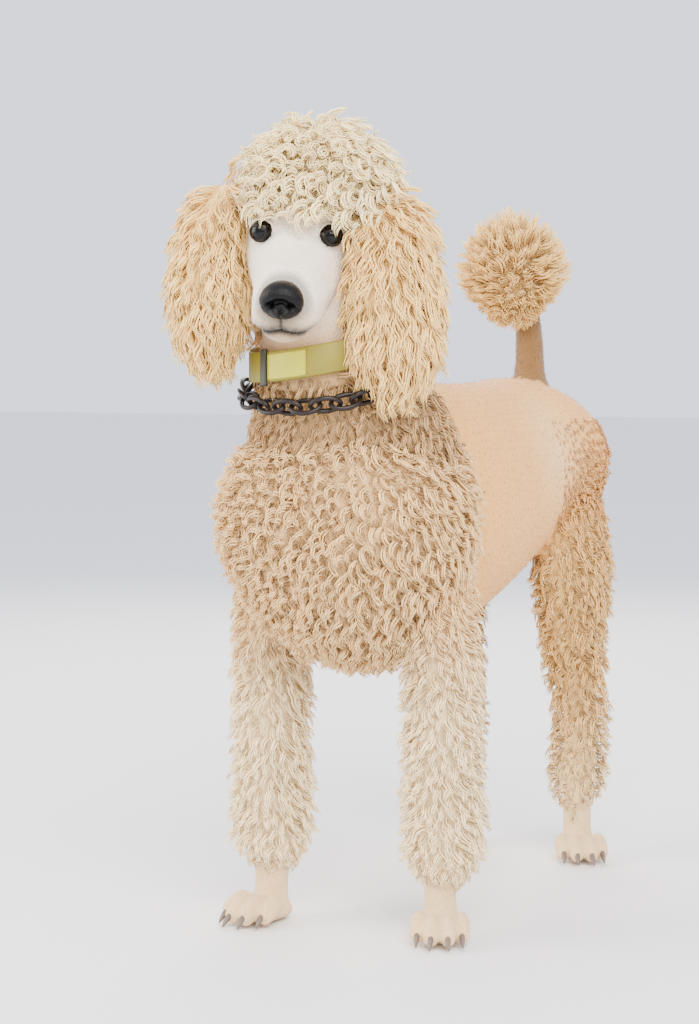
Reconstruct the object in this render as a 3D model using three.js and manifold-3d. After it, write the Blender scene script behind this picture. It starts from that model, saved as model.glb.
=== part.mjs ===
// A standing standard poodle in a pet trim, life size, in millimetres.
// The dog faces -Y, its left side is +X and Z is up; the feet stand on Z = 0.
import * as THREE from "three";
import { mergeVertices } from "three/addons/utils/BufferGeometryUtils.js";
import Module from "manifold-3d";

const wasm = await Module();
wasm.setup();
const { Manifold } = wasm;

// Driving dimensions of the dog. The design frame has its origin on the floor between the forelegs.
const BACK_HEIGHT = 604;
const CENTRE = new THREE.Vector3(-2, 120, 0); // middle of the footprint in the design frame
const GAP = 0.4; // clearance between touching sub-parts
const COAT = { chest: 34, leg: 30, crown: 66, plume: 66 }; // depth of the curly coat
const CORE_SHARE = 0.45; // how much of the coat's depth the plain core under the curls fills

// Head: place of the point midway between the eyes, its turn, and the main sizes of the skull.
const HEAD = {
  at: [15, -180, 752],
  turn: 21,
  nod: 20,
  tilt: 4,
  eyeSpread: 35,
  eyeRadius: 12.5,
  noseReach: 122,
};
const FORELEG = { x: [95, -113], y: [2, -6], radius: 52, cuffZ: 47 };
const HINDLEG = { footX: [67, -101], footY: 458, cuffZ: 54 };
const PAW = { length: 88, width: 62, height: 38, turn: { fore: [24, -6], hind: [30, -14] } };
const TAIL = { root: [6, 450, BACK_HEIGHT - 24], top: [5, 438, 722], radius: 20 };
const PLUME = { at: [2, 404, 730], wide: 70, tall: 67 };
const EAR = {
  left: { at: [107, -106, 678], wide: 56, deep: 64, tall: 126, side: 1 },
  right: { at: [-98, -168, 706], wide: 45, deep: 58, tall: 119, side: -1 },
};

// A seeded random stream, so that every build gives the same dog.
function stream(seed) {
  let state = seed;
  return () => {
    state = (state * 1664525 + 1013904223) % 4294967296;
    return state / 4294967296;
  };
}

const vec = (p) => new THREE.Vector3(p[0], p[1], p[2]);
const mix = (a, b, t) => a + (b - a) * t;

// Manifold solid of a closed three.js geometry.
function solidOf(geometry) {
  const bare = geometry.clone();
  for (const name of ["normal", "uv"]) bare.deleteAttribute(name);
  const merged = mergeVertices(bare, 1e-4);
  return new Manifold(
    new wasm.Mesh({
      numProp: 3,
      vertProperties: new Float32Array(merged.attributes.position.array),
      triVerts: new Uint32Array(merged.index.array),
    }),
  );
}

// three.js geometry of a manifold solid.
function geometryOf(solid) {
  const mesh = solid.getMesh();
  const positions = new Float32Array(mesh.numVert * 3);
  for (let i = 0; i < mesh.numVert; i++)
    for (let k = 0; k < 3; k++) positions[3 * i + k] = mesh.vertProperties[mesh.numProp * i + k];
  const geometry = new THREE.BufferGeometry();
  geometry.setAttribute("position", new THREE.BufferAttribute(positions, 3));
  geometry.setIndex(new THREE.BufferAttribute(new Uint32Array(mesh.triVerts), 1));
  geometry.computeVertexNormals();
  return geometry;
}

// The largest closed surface of a solid, with edges too short to see removed.
function largest(solid) {
  const pieces = solid.simplify(0.06).decompose();
  pieces.sort((a, b) => b.volume() - a.volume());
  return pieces[0];
}

const joined = (solids) => Manifold.union(solids);

// The room that a solid needs: the solid and its copies moved by the clearance along each axis.
function roomFor(solid) {
  const moves = [];
  for (const step of [-GAP, GAP]) moves.push([step, 0, 0], [0, step, 0], [0, 0, step]);
  return joined([solid, ...moves.map((move) => solid.translate(move))]);
}

// Closed geometry from rings of points, with a pole at each end.
function skinned(rings, startPole, endPole) {
  const sides = rings[0].length;
  const points = [startPole, ...rings.flat(), endPole];
  const faces = [];
  const at = (ring, k) => 1 + ring * sides + (k % sides);
  for (let k = 0; k < sides; k++) {
    faces.push(0, at(0, k + 1), at(0, k));
    faces.push(points.length - 1, at(rings.length - 1, k), at(rings.length - 1, k + 1));
  }
  for (let r = 0; r + 1 < rings.length; r++)
    for (let k = 0; k < sides; k++) {
      const [a, b, c, d] = [at(r, k), at(r, k + 1), at(r + 1, k + 1), at(r + 1, k)];
      faces.push(a, b, c, a, c, d);
    }
  const geometry = new THREE.BufferGeometry();
  geometry.setAttribute(
    "position",
    new THREE.BufferAttribute(new Float32Array(points.flatMap((p) => [p.x, p.y, p.z])), 3),
  );
  geometry.setIndex(faces);
  return geometry;
}

// A smooth bent form through stations [x, y, z, halfWidth, halfDepth]. Its first and last stations are
// the ends. Width runs along `across`, depth along the other normal of the spine. With `facing` every
// ring is square to that one direction, which keeps broad rings from crossing one another.
class Form {
  constructor(stations, across = [1, 0, 0], facing = null) {
    this.facing = facing && vec(facing).normalize();
    this.spine = new THREE.CatmullRomCurve3(stations.map(vec));
    this.sizes = new THREE.CatmullRomCurve3(stations.map((s) => new THREE.Vector3(s[3], s[4], 0)));
    this.across = vec(across).normalize();
    this.last = stations.length - 1;
  }

  tangent(t) {
    return this.facing ? this.facing.clone() : this.spine.getTangent(t);
  }

  // Point on the surface, `out` beyond it, at share t along the spine and angle a round it.
  point(t, a, out = 0) {
    const centre = this.spine.getPoint(t);
    const along = this.tangent(t);
    const deep = new THREE.Vector3().crossVectors(along, this.across).normalize();
    const wide = new THREE.Vector3().crossVectors(deep, along).normalize();
    const size = this.sizes.getPoint(t);
    return centre
      .addScaledVector(wide, Math.max(1.5, size.x + out) * Math.cos(a))
      .addScaledVector(deep, Math.max(1.5, size.y + out) * Math.sin(a));
  }

  // Outward normal of the surface.
  normal(t, a) {
    const step = 1e-3;
    const round = this.point(t, a + step).sub(this.point(t, a - step));
    const along = this.point(Math.min(1, t + step), a).sub(this.point(Math.max(0, t - step), a));
    return round.cross(along).normalize();
  }

  geometry(count, sides, out = 0) {
    const rings = [];
    for (let r = 1; r < count; r++) {
      const t = r / count;
      rings.push(
        Array.from({ length: sides }, (_, k) => this.point(t, (2 * Math.PI * k) / sides, out)),
      );
    }
    const ends = [0, 1].map((t) =>
      this.spine.getPoint(t).addScaledVector(this.tangent(t), out * (2 * t - 1)),
    );
    return skinned(rings, ends[0], ends[1]);
  }

  solid(count, sides, out = 0) {
    return solidOf(this.geometry(count, sides, out));
  }

  // Places spread evenly over the surface, in staggered rows `pitch` apart: {at, out, along}.
  places(pitch, out, random, from = 0.02, to = 0.98) {
    const found = [];
    const steps = 240;
    let travelled = pitch / 2;
    let row = 0;
    let before = this.point(from, 0, out);
    for (let s = 0; s <= steps; s++) {
      const t = mix(from, to, s / steps);
      const quarters = [0, 1, 2, 3].map((q) => this.point(t, (q * Math.PI) / 2, out));
      const here = quarters[0];
      travelled += here.distanceTo(before);
      before = here;
      if (travelled < pitch * 0.86) continue;
      travelled = 0;
      row += 1;
      const a = quarters[0].distanceTo(quarters[2]) / 2;
      const b = quarters[1].distanceTo(quarters[3]) / 2;
      const girth = Math.PI * (3 * (a + b) - Math.sqrt((3 * a + b) * (a + 3 * b)));
      const number = Math.max(3, Math.round(girth / pitch));
      for (let k = 0; k < number; k++) {
        const angle = (2 * Math.PI * (k + (row % 2) / 2 + 0.3 * (random() - 0.5))) / number;
        found.push({
          at: this.point(t, angle, out),
          out: this.normal(t, angle),
          along: this.tangent(t),
        });
      }
    }
    return found;
  }
}

// One rounded clump of curls, `wide` across its waist and standing `tall` out of the surface at `at`.
// Its root is sunk by `sunk`, and its crown leans towards `lie`. A long clump has its waist higher up.
function clump(at, out, lie, wide, tall, sunk, sides = 5) {
  const flare = Math.min(1, tall / wide);
  const u = new THREE.Vector3().crossVectors(out, lie).normalize();
  const v = new THREE.Vector3().crossVectors(out, u).normalize();
  const lean = lie.clone().addScaledVector(out, -lie.dot(out)).normalize();
  const levels = [
    { up: (flare - 0.2) * 0.4 * tall, size: 1, lean: 0, turn: 0 },
    { up: 0.84 * tall, size: 0.6 + 0.35 * flare, lean: 0.25, turn: 0.5 },
  ];
  const rings = levels.map((level) =>
    Array.from({ length: sides }, (_, k) => {
      const angle = (2 * Math.PI * k) / sides + level.turn;
      return at
        .clone()
        .addScaledVector(out, level.up)
        .addScaledVector(lean, level.lean * wide * 0.5)
        .addScaledVector(u, (Math.cos(angle) * wide * level.size) / 2)
        .addScaledVector(v, (Math.sin(angle) * wide * level.size) / 2);
    }),
  );
  const root = at.clone().addScaledVector(out, -sunk);
  const crown = at.clone().addScaledVector(out, tall).addScaledVector(lean, wide * 0.25);
  return solidOf(skinned(rings, root, crown));
}

// Clumps over a form's core, each kept only where `keep` says that its place is clear of other parts.
function curls(form, { pitch, core, tall, lie, seed, keep, from, to }) {
  if (tall < 1) return [];
  const random = stream(seed);
  return form
    .places(pitch, core, random, from, to)
    .filter((place) => keep(place.at.clone().addScaledVector(place.out, tall * 0.5), pitch / 2))
    .map((place) =>
      clump(
        place.at,
        place.out,
        vec(lie),
        pitch * mix(1.02, 1.18, random()),
        tall * mix(0.84, 1, random()),
        pitch * 0.45,
      ),
    );
}

// How far a point lies outside an ellipsoid, as a rough distance.
const clearOfBall = (p, ball, margin) =>
  Math.hypot(
    (p.x - ball.at[0]) / (ball.size[0] + margin),
    (p.y - ball.at[1]) / (ball.size[1] + margin),
    (p.z - ball.at[2]) / (ball.size[2] + margin),
  ) > 1;

// Torso: stations along Y as [y, top, bottom, halfWidth], with the deep curly chest in front and the
// closely clipped saddle behind it.
const chestRows = [
  [-158, 480, 450, 8],
  [-148, 540, 388, 84],
  [-118, 578, 338, 122],
  [-78, 594, 303, 140],
  [-36, 606, 284, 145],
  [4, 612, 278, 139],
  [38, 612, 286, 127],
  [60, 606, 302, 112],
  [74, 570, 350, 70],
];
const saddleRows = [
  [4, 480, 420, 4],
  [18, 570, 340, 84],
  [60, 603, 302, 106],
  [130, 604, 304, 113],
  [200, 601, 320, 111],
  [270, 601, 340, 106],
  [330, 604, 364, 105],
  [380, 607, 388, 108],
  [430, 604, 408, 111],
  [468, 590, 424, 106],
  [496, 562, 442, 84],
  [514, 528, 468, 46],
  [520, 505, 495, 6],
];
const fromRows = (rows) =>
  new Form(
    rows.map(([y, top, bottom, wide]) => [0, y, (top + bottom) / 2, wide, (top - bottom) / 2]),
    [1, 0, 0],
    [0, 1, 0],
  );
const chest = fromRows(chestRows);
const saddle = fromRows(saddleRows);

// Neck, from deep inside the chest up into the skull.
const neck = new Form(
  [
    [0, 10, 460, 60, 60],
    [0, -18, 515, 116, 116],
    [0, -46, 562, 108, 112],
    [1, -72, 598, 87, 93],
    [2, -84, 630, 77, 84],
    [4, -96, 672, 73, 80],
    [4, -100, 720, 66, 76],
    [2, -104, 770, 20, 20],
  ],
  [1, 0, 0],
  [0, -0.35, 0.94],
);

// A foreleg: one straight column of brushed coat with a round cuff.
const foreleg = (x, y) =>
  new Form(
    [
    [x, y + 6, FORELEG.cuffZ, 4, 4],
    [x, y + 5, FORELEG.cuffZ + 6, 30, 32],
    [x, y + 4, FORELEG.cuffZ + 22, 46, 49],
    [x, y + 3, FORELEG.cuffZ + 52, FORELEG.radius + 1, FORELEG.radius + 5],
    [x, y + 2, 170, FORELEG.radius, FORELEG.radius + 4],
    [x * 0.99, y, 240, FORELEG.radius - 2, FORELEG.radius + 4],
    [x * 0.97, y - 2, 310, FORELEG.radius - 2, FORELEG.radius + 9],
    [x * 0.9, y - 6, 380, FORELEG.radius - 4, FORELEG.radius + 14],
    [x * 0.78, y - 8, 430, 40, 56],
    [x * 0.74, y - 8, 452, 6, 8],
    ],
    [1, 0, 0],
    [0, 0, 1],
  );

// A hind leg: a broad thigh, a bent stifle and hock under the coat, and an upright cuff.
function hindleg(footX) {
  const side = Math.sign(footX);
  const y = HINDLEG.footY;
  const inset = footX - side * 84;
  return new Form(
    [
    [footX, y + 2, HINDLEG.cuffZ, 4, 4],
    [footX, y + 2, HINDLEG.cuffZ + 6, 27, 29],
    [footX, y + 3, HINDLEG.cuffZ + 20, 40, 43],
    [footX, y + 6, HINDLEG.cuffZ + 44, 44, 48],
    [footX - inset * 0.1, y + 9, 140, 43, 48],
    [footX - inset * 0.3, y + 4, 185, 42, 50],
    [footX - inset * 0.5, y - 16, 235, 43, 57],
    [footX - inset * 0.7, y - 40, 290, 45, 68],
    [side * 84, y - 54, 345, 48, 84],
    [side * 80, y - 52, 400, 50, 98],
    [side * 73, y - 46, 455, 48, 98],
    [side * 62, y - 42, 505, 42, 84],
    [side * 54, y - 42, 540, 8, 10],
    ],
    [1, 0, 0],
    [0, 0, 1],
  );
}

// A shaved paw, toes forward, in its own frame with its sole on Z = 0 and its pastern above the origin.
function paw(pasternTop) {
  const { length, width, height } = PAW;
  const pastern = new Form([
    [0, 4, 8, 8, 8],
    [0, 2, 16, 21, 23],
    [0, 5, height, 19, 22],
    [0, 8, pasternTop - 16, 18, 21],
    [0, 8, pasternTop, 4, 4],
  ]);
  const pad = new Form([
    [0, 24, 11, 5, 5],
    [0, 18, 11, 20, 12],
    [0, -2, 12, width * 0.44, 15],
    [0, -24, 12, width * 0.43, 14],
    [0, -36, 11, 16, 10],
    [0, -40, 11, 4, 4],
  ]);
  const pieces = [pastern.solid(4, 8), pad.solid(5, 8)];
  for (const [slot, x, reach] of [
    [0, -0.37, 0.7],
    [1, -0.13, 0.86],
    [2, 0.13, 0.86],
    [3, 0.37, 0.7],
  ]) {
    const spread = slot < 1.5 ? -1 : 1;
    const tip = -length * reach + 14;
    const toeX = x * width;
    const toe = new Form([
      [toeX * 0.7, -8, 16, 4, 4],
      [toeX * 0.8, -18, 20, 8.5, 11],
      [toeX, tip + 26, 24, 9.5, 12],
      [toeX + spread, tip + 10, 17, 9.5, 12],
      [toeX + spread, tip + 2, 11, 8, 9],
      [toeX + spread, tip - 2, 9, 3, 3],
    ]);
    const claw = new Form([
      [toeX + spread, tip + 8, 15, 2, 2],
      [toeX + spread, tip - 1, 14, 3.4, 3.6],
      [toeX + spread * 1.5, tip - 8, 9, 2.6, 2.8],
      [toeX + spread * 2, tip - 13, 3.4, 1, 1],
    ]);
    pieces.push(toe.solid(4, 5), claw.solid(3, 4));
  }
  return largest(joined(pieces).trimByPlane([0, 0, 1], 0));
}

// Skull and muzzle in the head's own frame: origin midway between the eyes, muzzle along -Y.
const skullRows = [
  [-113, -38, -62, 8],
  [-109, -26, -76, 23],
  [-98, -18, -84, 30],
  [-80, -11, -88, 35],
  [-56, -6, -89, 38],
  [-30, -1, -89, 41],
  [-8, 8, -91, 46],
  [12, 24, -93, 52],
  [40, 38, -94, 59],
  [72, 44, -88, 60],
  [102, 40, -70, 53],
  [126, 24, -46, 38],
  [138, 0, -20, 8],
];
const skull = fromRows(skullRows);

const headTurn = new THREE.Euler(
  THREE.MathUtils.degToRad(HEAD.nod),
  THREE.MathUtils.degToRad(HEAD.tilt),
  THREE.MathUtils.degToRad(HEAD.turn),
  "ZXY",
);
const headMatrix = new THREE.Matrix4()
  .makeRotationFromEuler(headTurn)
  .setPosition(...HEAD.at);
const toHead = headMatrix.clone().invert();

// The crown of curls over the skull, as an upright dome in the head's frame.
const CROWN = { at: [13, 60, 26], wide: 99, deep: 96, tall: 86, brow: 13 };
function crownForm(inset) {
  const [x, y, z] = CROWN.at;
  const rows = [];
  const steps = 9;
  for (let s = 0; s <= steps; s++) {
    const angle = mix(-0.36 * Math.PI, 0.5 * Math.PI, s / steps);
    const radius = Math.max(0.04, Math.cos(angle));
    rows.push([
      x,
      y,
      z + (CROWN.tall - inset) * Math.sin(angle),
      (CROWN.wide - inset * 0.8) * radius,
      (CROWN.deep - inset * 0.8) * radius,
    ]);
  }
  rows[0][3] = rows[0][4] = 8;
  return new Form(rows, [1, 0, 0], [0, 0, 1]);
}

// The core under the crown, cut off over the brow so that it leaves the face open.
const crownSolid = () =>
  crownForm(COAT.crown * (1 - CORE_SHARE))
    .solid(9, 14)
    .subtract(Manifold.cube([400, 230, 300]).translate([-200, -200, CROWN.brow - 300]));

// An eyeball, slightly flattened, at one side of the face.
const eyePlace = (side) => new THREE.Vector3(side * HEAD.eyeSpread, -1, 0);
function eyeball(side, grown) {
  const ball = new THREE.SphereGeometry(HEAD.eyeRadius + grown, 12, 8);
  ball.translate(...eyePlace(side).toArray());
  return solidOf(ball);
}

// The lids: a raised almond rim round the eye, made as a bent ring.
function lids(side) {
  const centre = eyePlace(side);
  const outward = new THREE.Vector3(side * 0.5, -0.84, 0.16).normalize();
  const across = new THREE.Vector3(-outward.y, outward.x, 0).normalize();
  const up = new THREE.Vector3().crossVectors(outward, across).multiplyScalar(-1);
  const count = 12;
  const rings = Array.from({ length: count }, (_, k) => {
    const a = (2 * Math.PI * k) / count;
    const reach = HEAD.eyeRadius + 1.4;
    const radial = across
      .clone()
      .multiplyScalar(Math.cos(a) * reach * 1.02)
      .addScaledVector(up, Math.sin(a) * reach * 0.74);
    const middle = centre.clone().add(radial).addScaledVector(outward, 5.2);
    const spread = radial.clone().normalize();
    return Array.from({ length: 4 }, (_, j) => {
      const b = (2 * Math.PI * j) / 4;
      return middle
        .clone()
        .addScaledVector(spread, Math.cos(b) * 3.6)
        .addScaledVector(outward, Math.sin(b) * 4.2);
    });
  });
  return ringSolid(rings);
}

// Closed solid of rings of points that follow a closed loop.
function ringSolid(rings) {
  const sides = rings[0].length;
  const points = rings.flat();
  const faces = [];
  rings.forEach((_, r) => {
    const next = (r + 1) % rings.length;
    for (let k = 0; k < sides; k++) {
      const [a, b] = [r * sides + k, r * sides + ((k + 1) % sides)];
      const [c, d] = [next * sides + ((k + 1) % sides), next * sides + k];
      faces.push(a, b, c, a, c, d);
    }
  });
  const geometry = new THREE.BufferGeometry();
  geometry.setAttribute(
    "position",
    new THREE.BufferAttribute(new Float32Array(points.flatMap((p) => [p.x, p.y, p.z])), 3),
  );
  geometry.setIndex(faces);
  const made = solidOf(geometry);
  if (made.volume() > 0) return made;
  geometry.setIndex(faces.map((_, i) => faces[i - (i % 3) + 2 - (i % 3)]));
  return solidOf(geometry);
}

// The nose leather with its two nostrils.
function nose(grown) {
  const y = -HEAD.noseReach;
  const pad = new Form([
    [0, y + 30, -30, 6, 4],
    [0, y + 24, -32, 19 + grown, 13 + grown],
    [0, y + 12, -35, 22 + grown, 18 + grown],
    [0, y + 4, -38, 20 + grown, 17 + grown],
    [0, y, -39, 12 + grown, 11 + grown],
    [0, y - 1 - grown, -39, 3, 3],
  ]).solid(8, 12);
  if (grown) return pad;
  const nostrils = [-1, 1].map((side) =>
    new Form([
      [side * 8, y - 6, -42, 1.5, 1.5],
      [side * 8.5, y - 1, -42, 4.2, 3.4],
      [side * 11, y + 6, -41, 3.4, 2.8],
      [side * 14, y + 11, -40, 1.5, 1.5],
    ]).solid(5, 8),
  );
  return largest(pad.subtract(joined(nostrils)));
}

// The groove of the mouth, which runs back from under the nose along both cheeks.
function mouthLine() {
  const loop = [
    [-40, -34, -72],
    [-38, -56, -74],
    [-31, -88, -73],
    [-18, -106, -70],
    [0, -114, -66],
    [18, -106, -70],
    [31, -88, -73],
    [38, -56, -74],
    [40, -34, -72],
  ];
  return new Form(
    loop.map(([x, y, z], i) => {
      const end = i === 0 || i === loop.length - 1;
      return [x, y, z, end ? 1 : 1.6, end ? 1 : 5];
    }),
    [0, 0, 1],
  ).solid(12, 4);
}

// The head with its crown of curls, in its own frame.
function head() {
  const core = COAT.crown * (1 - CORE_SHARE);
  const dome = crownForm(core);
  const inHead = (p) => p.clone().applyMatrix4(headMatrix);
  const curlsOfCrown = curls(dome, {
    pitch: 62,
    core: 0,
    tall: core * 0.94,
    lie: [0, -1, 0.2],
    seed: 11,
    from: 0.3,
    to: 1,
    keep: (p, margin) => {
      if (p.y < 10 && p.z < 8) return false;
      const w = inHead(p);
      const earClear = Object.values(EAR).every((ear) =>
        clearOfBall(w, { at: ear.at, size: [ear.wide, ear.deep, ear.tall] }, margin * 0.45),
      );
      return earClear && w.z > 712;
    },
  });
  const rough = joined([skull.solid(14, 14), crownSolid(), ...curlsOfCrown, lids(-1), lids(1)]);
  return largest(
    rough
      .subtract(joined([eyeball(-1, GAP), eyeball(1, GAP), nose(GAP)]))
      .subtract(mouthLine()),
  );
}

// One ear: a hanging pad of coat with tapered locks that fall over one another to its rounded hem.
function ear({ at, wide, deep, tall, side }, seed) {
  const [x, y, z] = at;
  const pad = new Form(
    [
      [x - side * 30, y + 6, z + tall * 0.86, 8, 10],
      [x - side * 22, y + 4, z + tall * 0.76, wide * 0.36, deep * 0.42],
      [x - side * 10, y + 2, z + tall * 0.42, wide * 0.52, deep * 0.66],
      [x - side * 2, y, z, wide * 0.56, deep * 0.74],
      [x, y, z - tall * 0.4, wide * 0.5, deep * 0.7],
      [x - side * 2, y, z - tall * 0.74, wide * 0.36, deep * 0.48],
      [x - side * 4, y, z - tall * 0.82, 5, 6],
    ],
    [1, 0, 0],
  );
  const random = stream(seed);
  const locks = [];
  const tiers = [
    { from: 0.62, to: 0.02, count: 4, out: 0.9 },
    { from: 0.3, to: -0.46, count: 4, out: 1 },
    { from: 0, to: -0.98, count: 4, out: 0.92 },
  ];
  tiers.forEach((tier, row) => {
    for (let k = 0; k < tier.count; k++) {
      const a = (2 * Math.PI * (k + row / 2)) / tier.count + 0.2 * (random() - 0.5);
      const reach = tier.to + 0.06 * (random() - 0.5);
      const spot = (level, share) => [
        x - side * 2 + Math.cos(a) * wide * share,
        y + Math.sin(a) * deep * share,
        z + tall * level,
      ];
      const rim = tier.out * Math.sqrt(Math.max(0.12, 1 - Math.min(1, reach * reach * 0.94)));
      const turn = [-Math.sin(a), Math.cos(a), 0];
      const middle = mix(tier.from, reach, 0.5);
      locks.push(
        new Form(
          [
            [...spot(tier.from, 0.3), 4, 4],
            [...spot(mix(tier.from, reach, 0.22), 0.62), 23, 11],
            [...spot(middle, 0.9 * tier.out), 27, 12],
            [...spot(mix(tier.from, reach, 0.8), mix(0.94, rim, 0.5)), 19, 9],
            [...spot(reach, rim), 2, 2],
          ],
          turn,
        ).solid(5, 4),
      );
    }
  });
  return joined([pad.solid(7, 9), ...locks]);
}

// The tail: a clipped stalk, and a round plume of coat at its end.
function tailStalk() {
  const [x, y, z] = TAIL.root;
  const [topX, topY, topZ] = TAIL.top;
  return new Form([
    [x, y - 4, z - 40, 10, 10],
    [x, y, z, TAIL.radius + 7, TAIL.radius + 9],
    [x, y - 1, z + 34, TAIL.radius + 1, TAIL.radius + 2],
    [mix(x, topX, 0.5), y - 3, mix(z, topZ, 0.55), TAIL.radius - 1, TAIL.radius],
    [topX, topY, topZ, TAIL.radius - 5, TAIL.radius - 4],
    [topX, topY - 6, topZ + 12, 4, 4],
  ]).solid(10, 12);
}

function plume() {
  const [x, y, z] = PLUME.at;
  const core = COAT.plume * (1 - CORE_SHARE);
  const steps = 8;
  const ball = new Form(
    Array.from({ length: steps + 1 }, (_, s) => {
      const angle = mix(-Math.PI / 2, Math.PI / 2, s / steps);
      const round = Math.max(0.06, Math.cos(angle)) * (PLUME.wide - core);
      return [x, y, z + (PLUME.tall - core) * Math.sin(angle), round, round];
    }),
  );
  const coat = { pitch: 30, core: 0, tall: core, lie: [0, 0, 1], seed: 23, keep: () => true };
  return joined([ball.solid(8, 11), ...curls(ball, coat)]);
}

// A ring band that follows an oval round the neck. `level` gives its height at a point of the oval.
function neckRing(rx, ry, at, level, thick, tall, count) {
  const rings = Array.from({ length: count }, (_, k) => {
    const a = (2 * Math.PI * k) / count;
    const corner = (radial, up) => {
      const px = at[0] + Math.cos(a) * (rx + radial);
      const py = at[1] + Math.sin(a) * (ry + radial);
      return new THREE.Vector3(px, py, level(px, py) + up);
    };
    return [
      corner(0, -tall / 2),
      corner(thick, -tall / 2),
      corner(thick, tall / 2),
      corner(0, tall / 2),
    ];
  });
  return ringSolid(rings);
}

const BAND = { rx: 80, ry: 90, at: [1, -82], z: 634, rise: 0.16, lean: 0.12, thick: 3, tall: 30 };
const bandLevel = (x, y) => BAND.z + BAND.rise * (y - BAND.at[1]) + BAND.lean * (x - BAND.at[0]);
const band = () => neckRing(BAND.rx, BAND.ry, BAND.at, bandLevel, BAND.thick, BAND.tall, 30);

// The keeper: a dark upright loop over the band, just to the dog's right of its front.
function keeper() {
  const a = (250 * Math.PI) / 180;
  const px = BAND.at[0] + Math.cos(a) * (BAND.rx + 1.5);
  const py = BAND.at[1] + Math.sin(a) * (BAND.ry + 1.5);
  const facing = Math.atan2(Math.sin(a) / BAND.ry, Math.cos(a) / BAND.rx);
  const block = new THREE.BoxGeometry(9, 10, BAND.tall + 7);
  block.rotateZ(facing);
  block.translate(px, py, bandLevel(px, py));
  return largest(solidOf(block).subtract(roomFor(band())).trimByPlane([px - BAND.at[0], py - BAND.at[1], 0], 0));
}

// The chain: oval wire links that lie on the coat one after another, each hooked into the next.
const CHAIN = { rx: 97, ry: 102, at: [0, -77], z: 602, rise: 0.32, links: 16, wire: 2.1, tall: 20 };
function chain() {
  const links = [];
  for (let k = 0; k < CHAIN.links; k++) {
    const a = (2 * Math.PI * k) / CHAIN.links;
    const centre = new THREE.Vector3(
      CHAIN.at[0] + Math.cos(a) * CHAIN.rx,
      CHAIN.at[1] + Math.sin(a) * CHAIN.ry,
      0,
    );
    centre.z = CHAIN.z + CHAIN.rise * (centre.y - CHAIN.at[1]);
    const along = new THREE.Vector3(
      -Math.sin(a) * CHAIN.rx,
      Math.cos(a) * CHAIN.ry,
      CHAIN.rise * Math.cos(a) * CHAIN.ry,
    ).normalize();
    const up = new THREE.Vector3(0, 0, 1).addScaledVector(along, -along.z).normalize();
    const outward = new THREE.Vector3().crossVectors(along, up).normalize();
    const half = 25;
    const corners = 6;
    const rings = Array.from({ length: corners }, (_, c) => {
      const b = (2 * Math.PI * (c + 0.5)) / corners;
      const swing = Math.cos(b) * half;
      const radial = along
        .clone()
        .multiplyScalar(Math.cos(b))
        .addScaledVector(up, Math.sin(b))
        .normalize();
      const middle = centre
        .clone()
        .addScaledVector(along, swing)
        .addScaledVector(up, (Math.sin(b) * CHAIN.tall) / 2)
        .addScaledVector(outward, 0.06 * swing + 4);
      return Array.from({ length: 3 }, (_, j) => {
        const w = (2 * Math.PI * j) / 3;
        return middle
          .clone()
          .addScaledVector(radial, Math.cos(w) * CHAIN.wire)
          .addScaledVector(outward, Math.sin(w) * CHAIN.wire);
      });
    });
    links.push(ringSolid(rings));
  }
  return joined(links);
}

const chainLevel = (x, y) => CHAIN.z + CHAIN.rise * (y - CHAIN.at[1]);

// The room that the chain takes up, kept free by the ears.
const chainRoom = () =>
  neckRing(CHAIN.rx - 3, CHAIN.ry - 3, CHAIN.at, chainLevel, 14, CHAIN.tall + 6, 24);

// Coat colours, from the pale legs to the warm ears and saddle.
const finish = (color, roughness, metalness = 0) =>
  new THREE.MeshStandardMaterial({ color, roughness, metalness });
const FINISH = {
  cream: finish(0xe6cfae, 0.95),
  apricot: finish(0xd9b384, 0.95),
  pale: finish(0xf0dfc6, 0.95),
  face: finish(0xeee6da, 0.9),
  bare: finish(0xd8c2a8, 0.9),
  leather: finish(0x26262a, 0.45),
  eye: finish(0x0c0a0a, 0.08),
  band: finish(0xb9bb5a, 0.5),
  keeper: finish(0x33352c, 0.6),
  steel: finish(0x3a3735, 0.4, 0.8),
};

const dog = new THREE.Group();
dog.position.copy(CENTRE).multiplyScalar(-1);
const headGroup = new THREE.Group();
headGroup.applyMatrix4(headMatrix);
dog.add(headGroup);

function add(group, name, solid, material) {
  const mesh = new THREE.Mesh(geometryOf(solid), material);
  mesh.name = name;
  group.add(mesh);
  return mesh;
}

// Everything is shaped in the design frame, outermost first; what meets a shaped part is cut clear of it.
const place = (solid, matrix) => solid.transform(matrix.elements);
const sides = [
  { name: "left", index: 0 },
  { name: "right", index: 1 },
];

const headLocal = head();
const headWorld = place(headLocal, headMatrix);
const headRoom = roomFor(headWorld);

const chestCore = COAT.chest * (1 - CORE_SHARE);
const legCore = COAT.leg * (1 - CORE_SHARE);
const legForms = sides.map(({ index }) => foreleg(FORELEG.x[index], FORELEG.y[index]));
const hindForms = sides.map(({ index }) => hindleg(HINDLEG.footX[index]));

// Torso: saddle and chest core with curls over the chest, clear of the legs, neck and collar.
const chainClear = (p, margin) => {
  const level = CHAIN.z + CHAIN.rise * (p.y - CHAIN.at[1]);
  return p.z < level - 12 - margin;
};
const chestCoat = {
  pitch: 78,
  core: -chestCore,
  tall: chestCore,
  lie: [0, 0.2, -1],
  seed: 5,
  from: 0.04,
  to: 0.88,
  keep: (p, margin) => {
    const clearOfLegs = FORELEG.x.every(
      (x) => p.z > 330 || Math.hypot(p.x - x * 0.98, p.y) > FORELEG.radius + margin + 4,
    );
    return clearOfLegs && chainClear(p, margin) && p.y < 84;
  },
};
const torsoCurls = curls(chest, chestCoat);
const torso = largest(
  joined([saddle.solid(15, 16), chest.solid(12, 18, -chestCore), ...torsoCurls]),
);
const torsoRoom = roomFor(torso);

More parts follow.
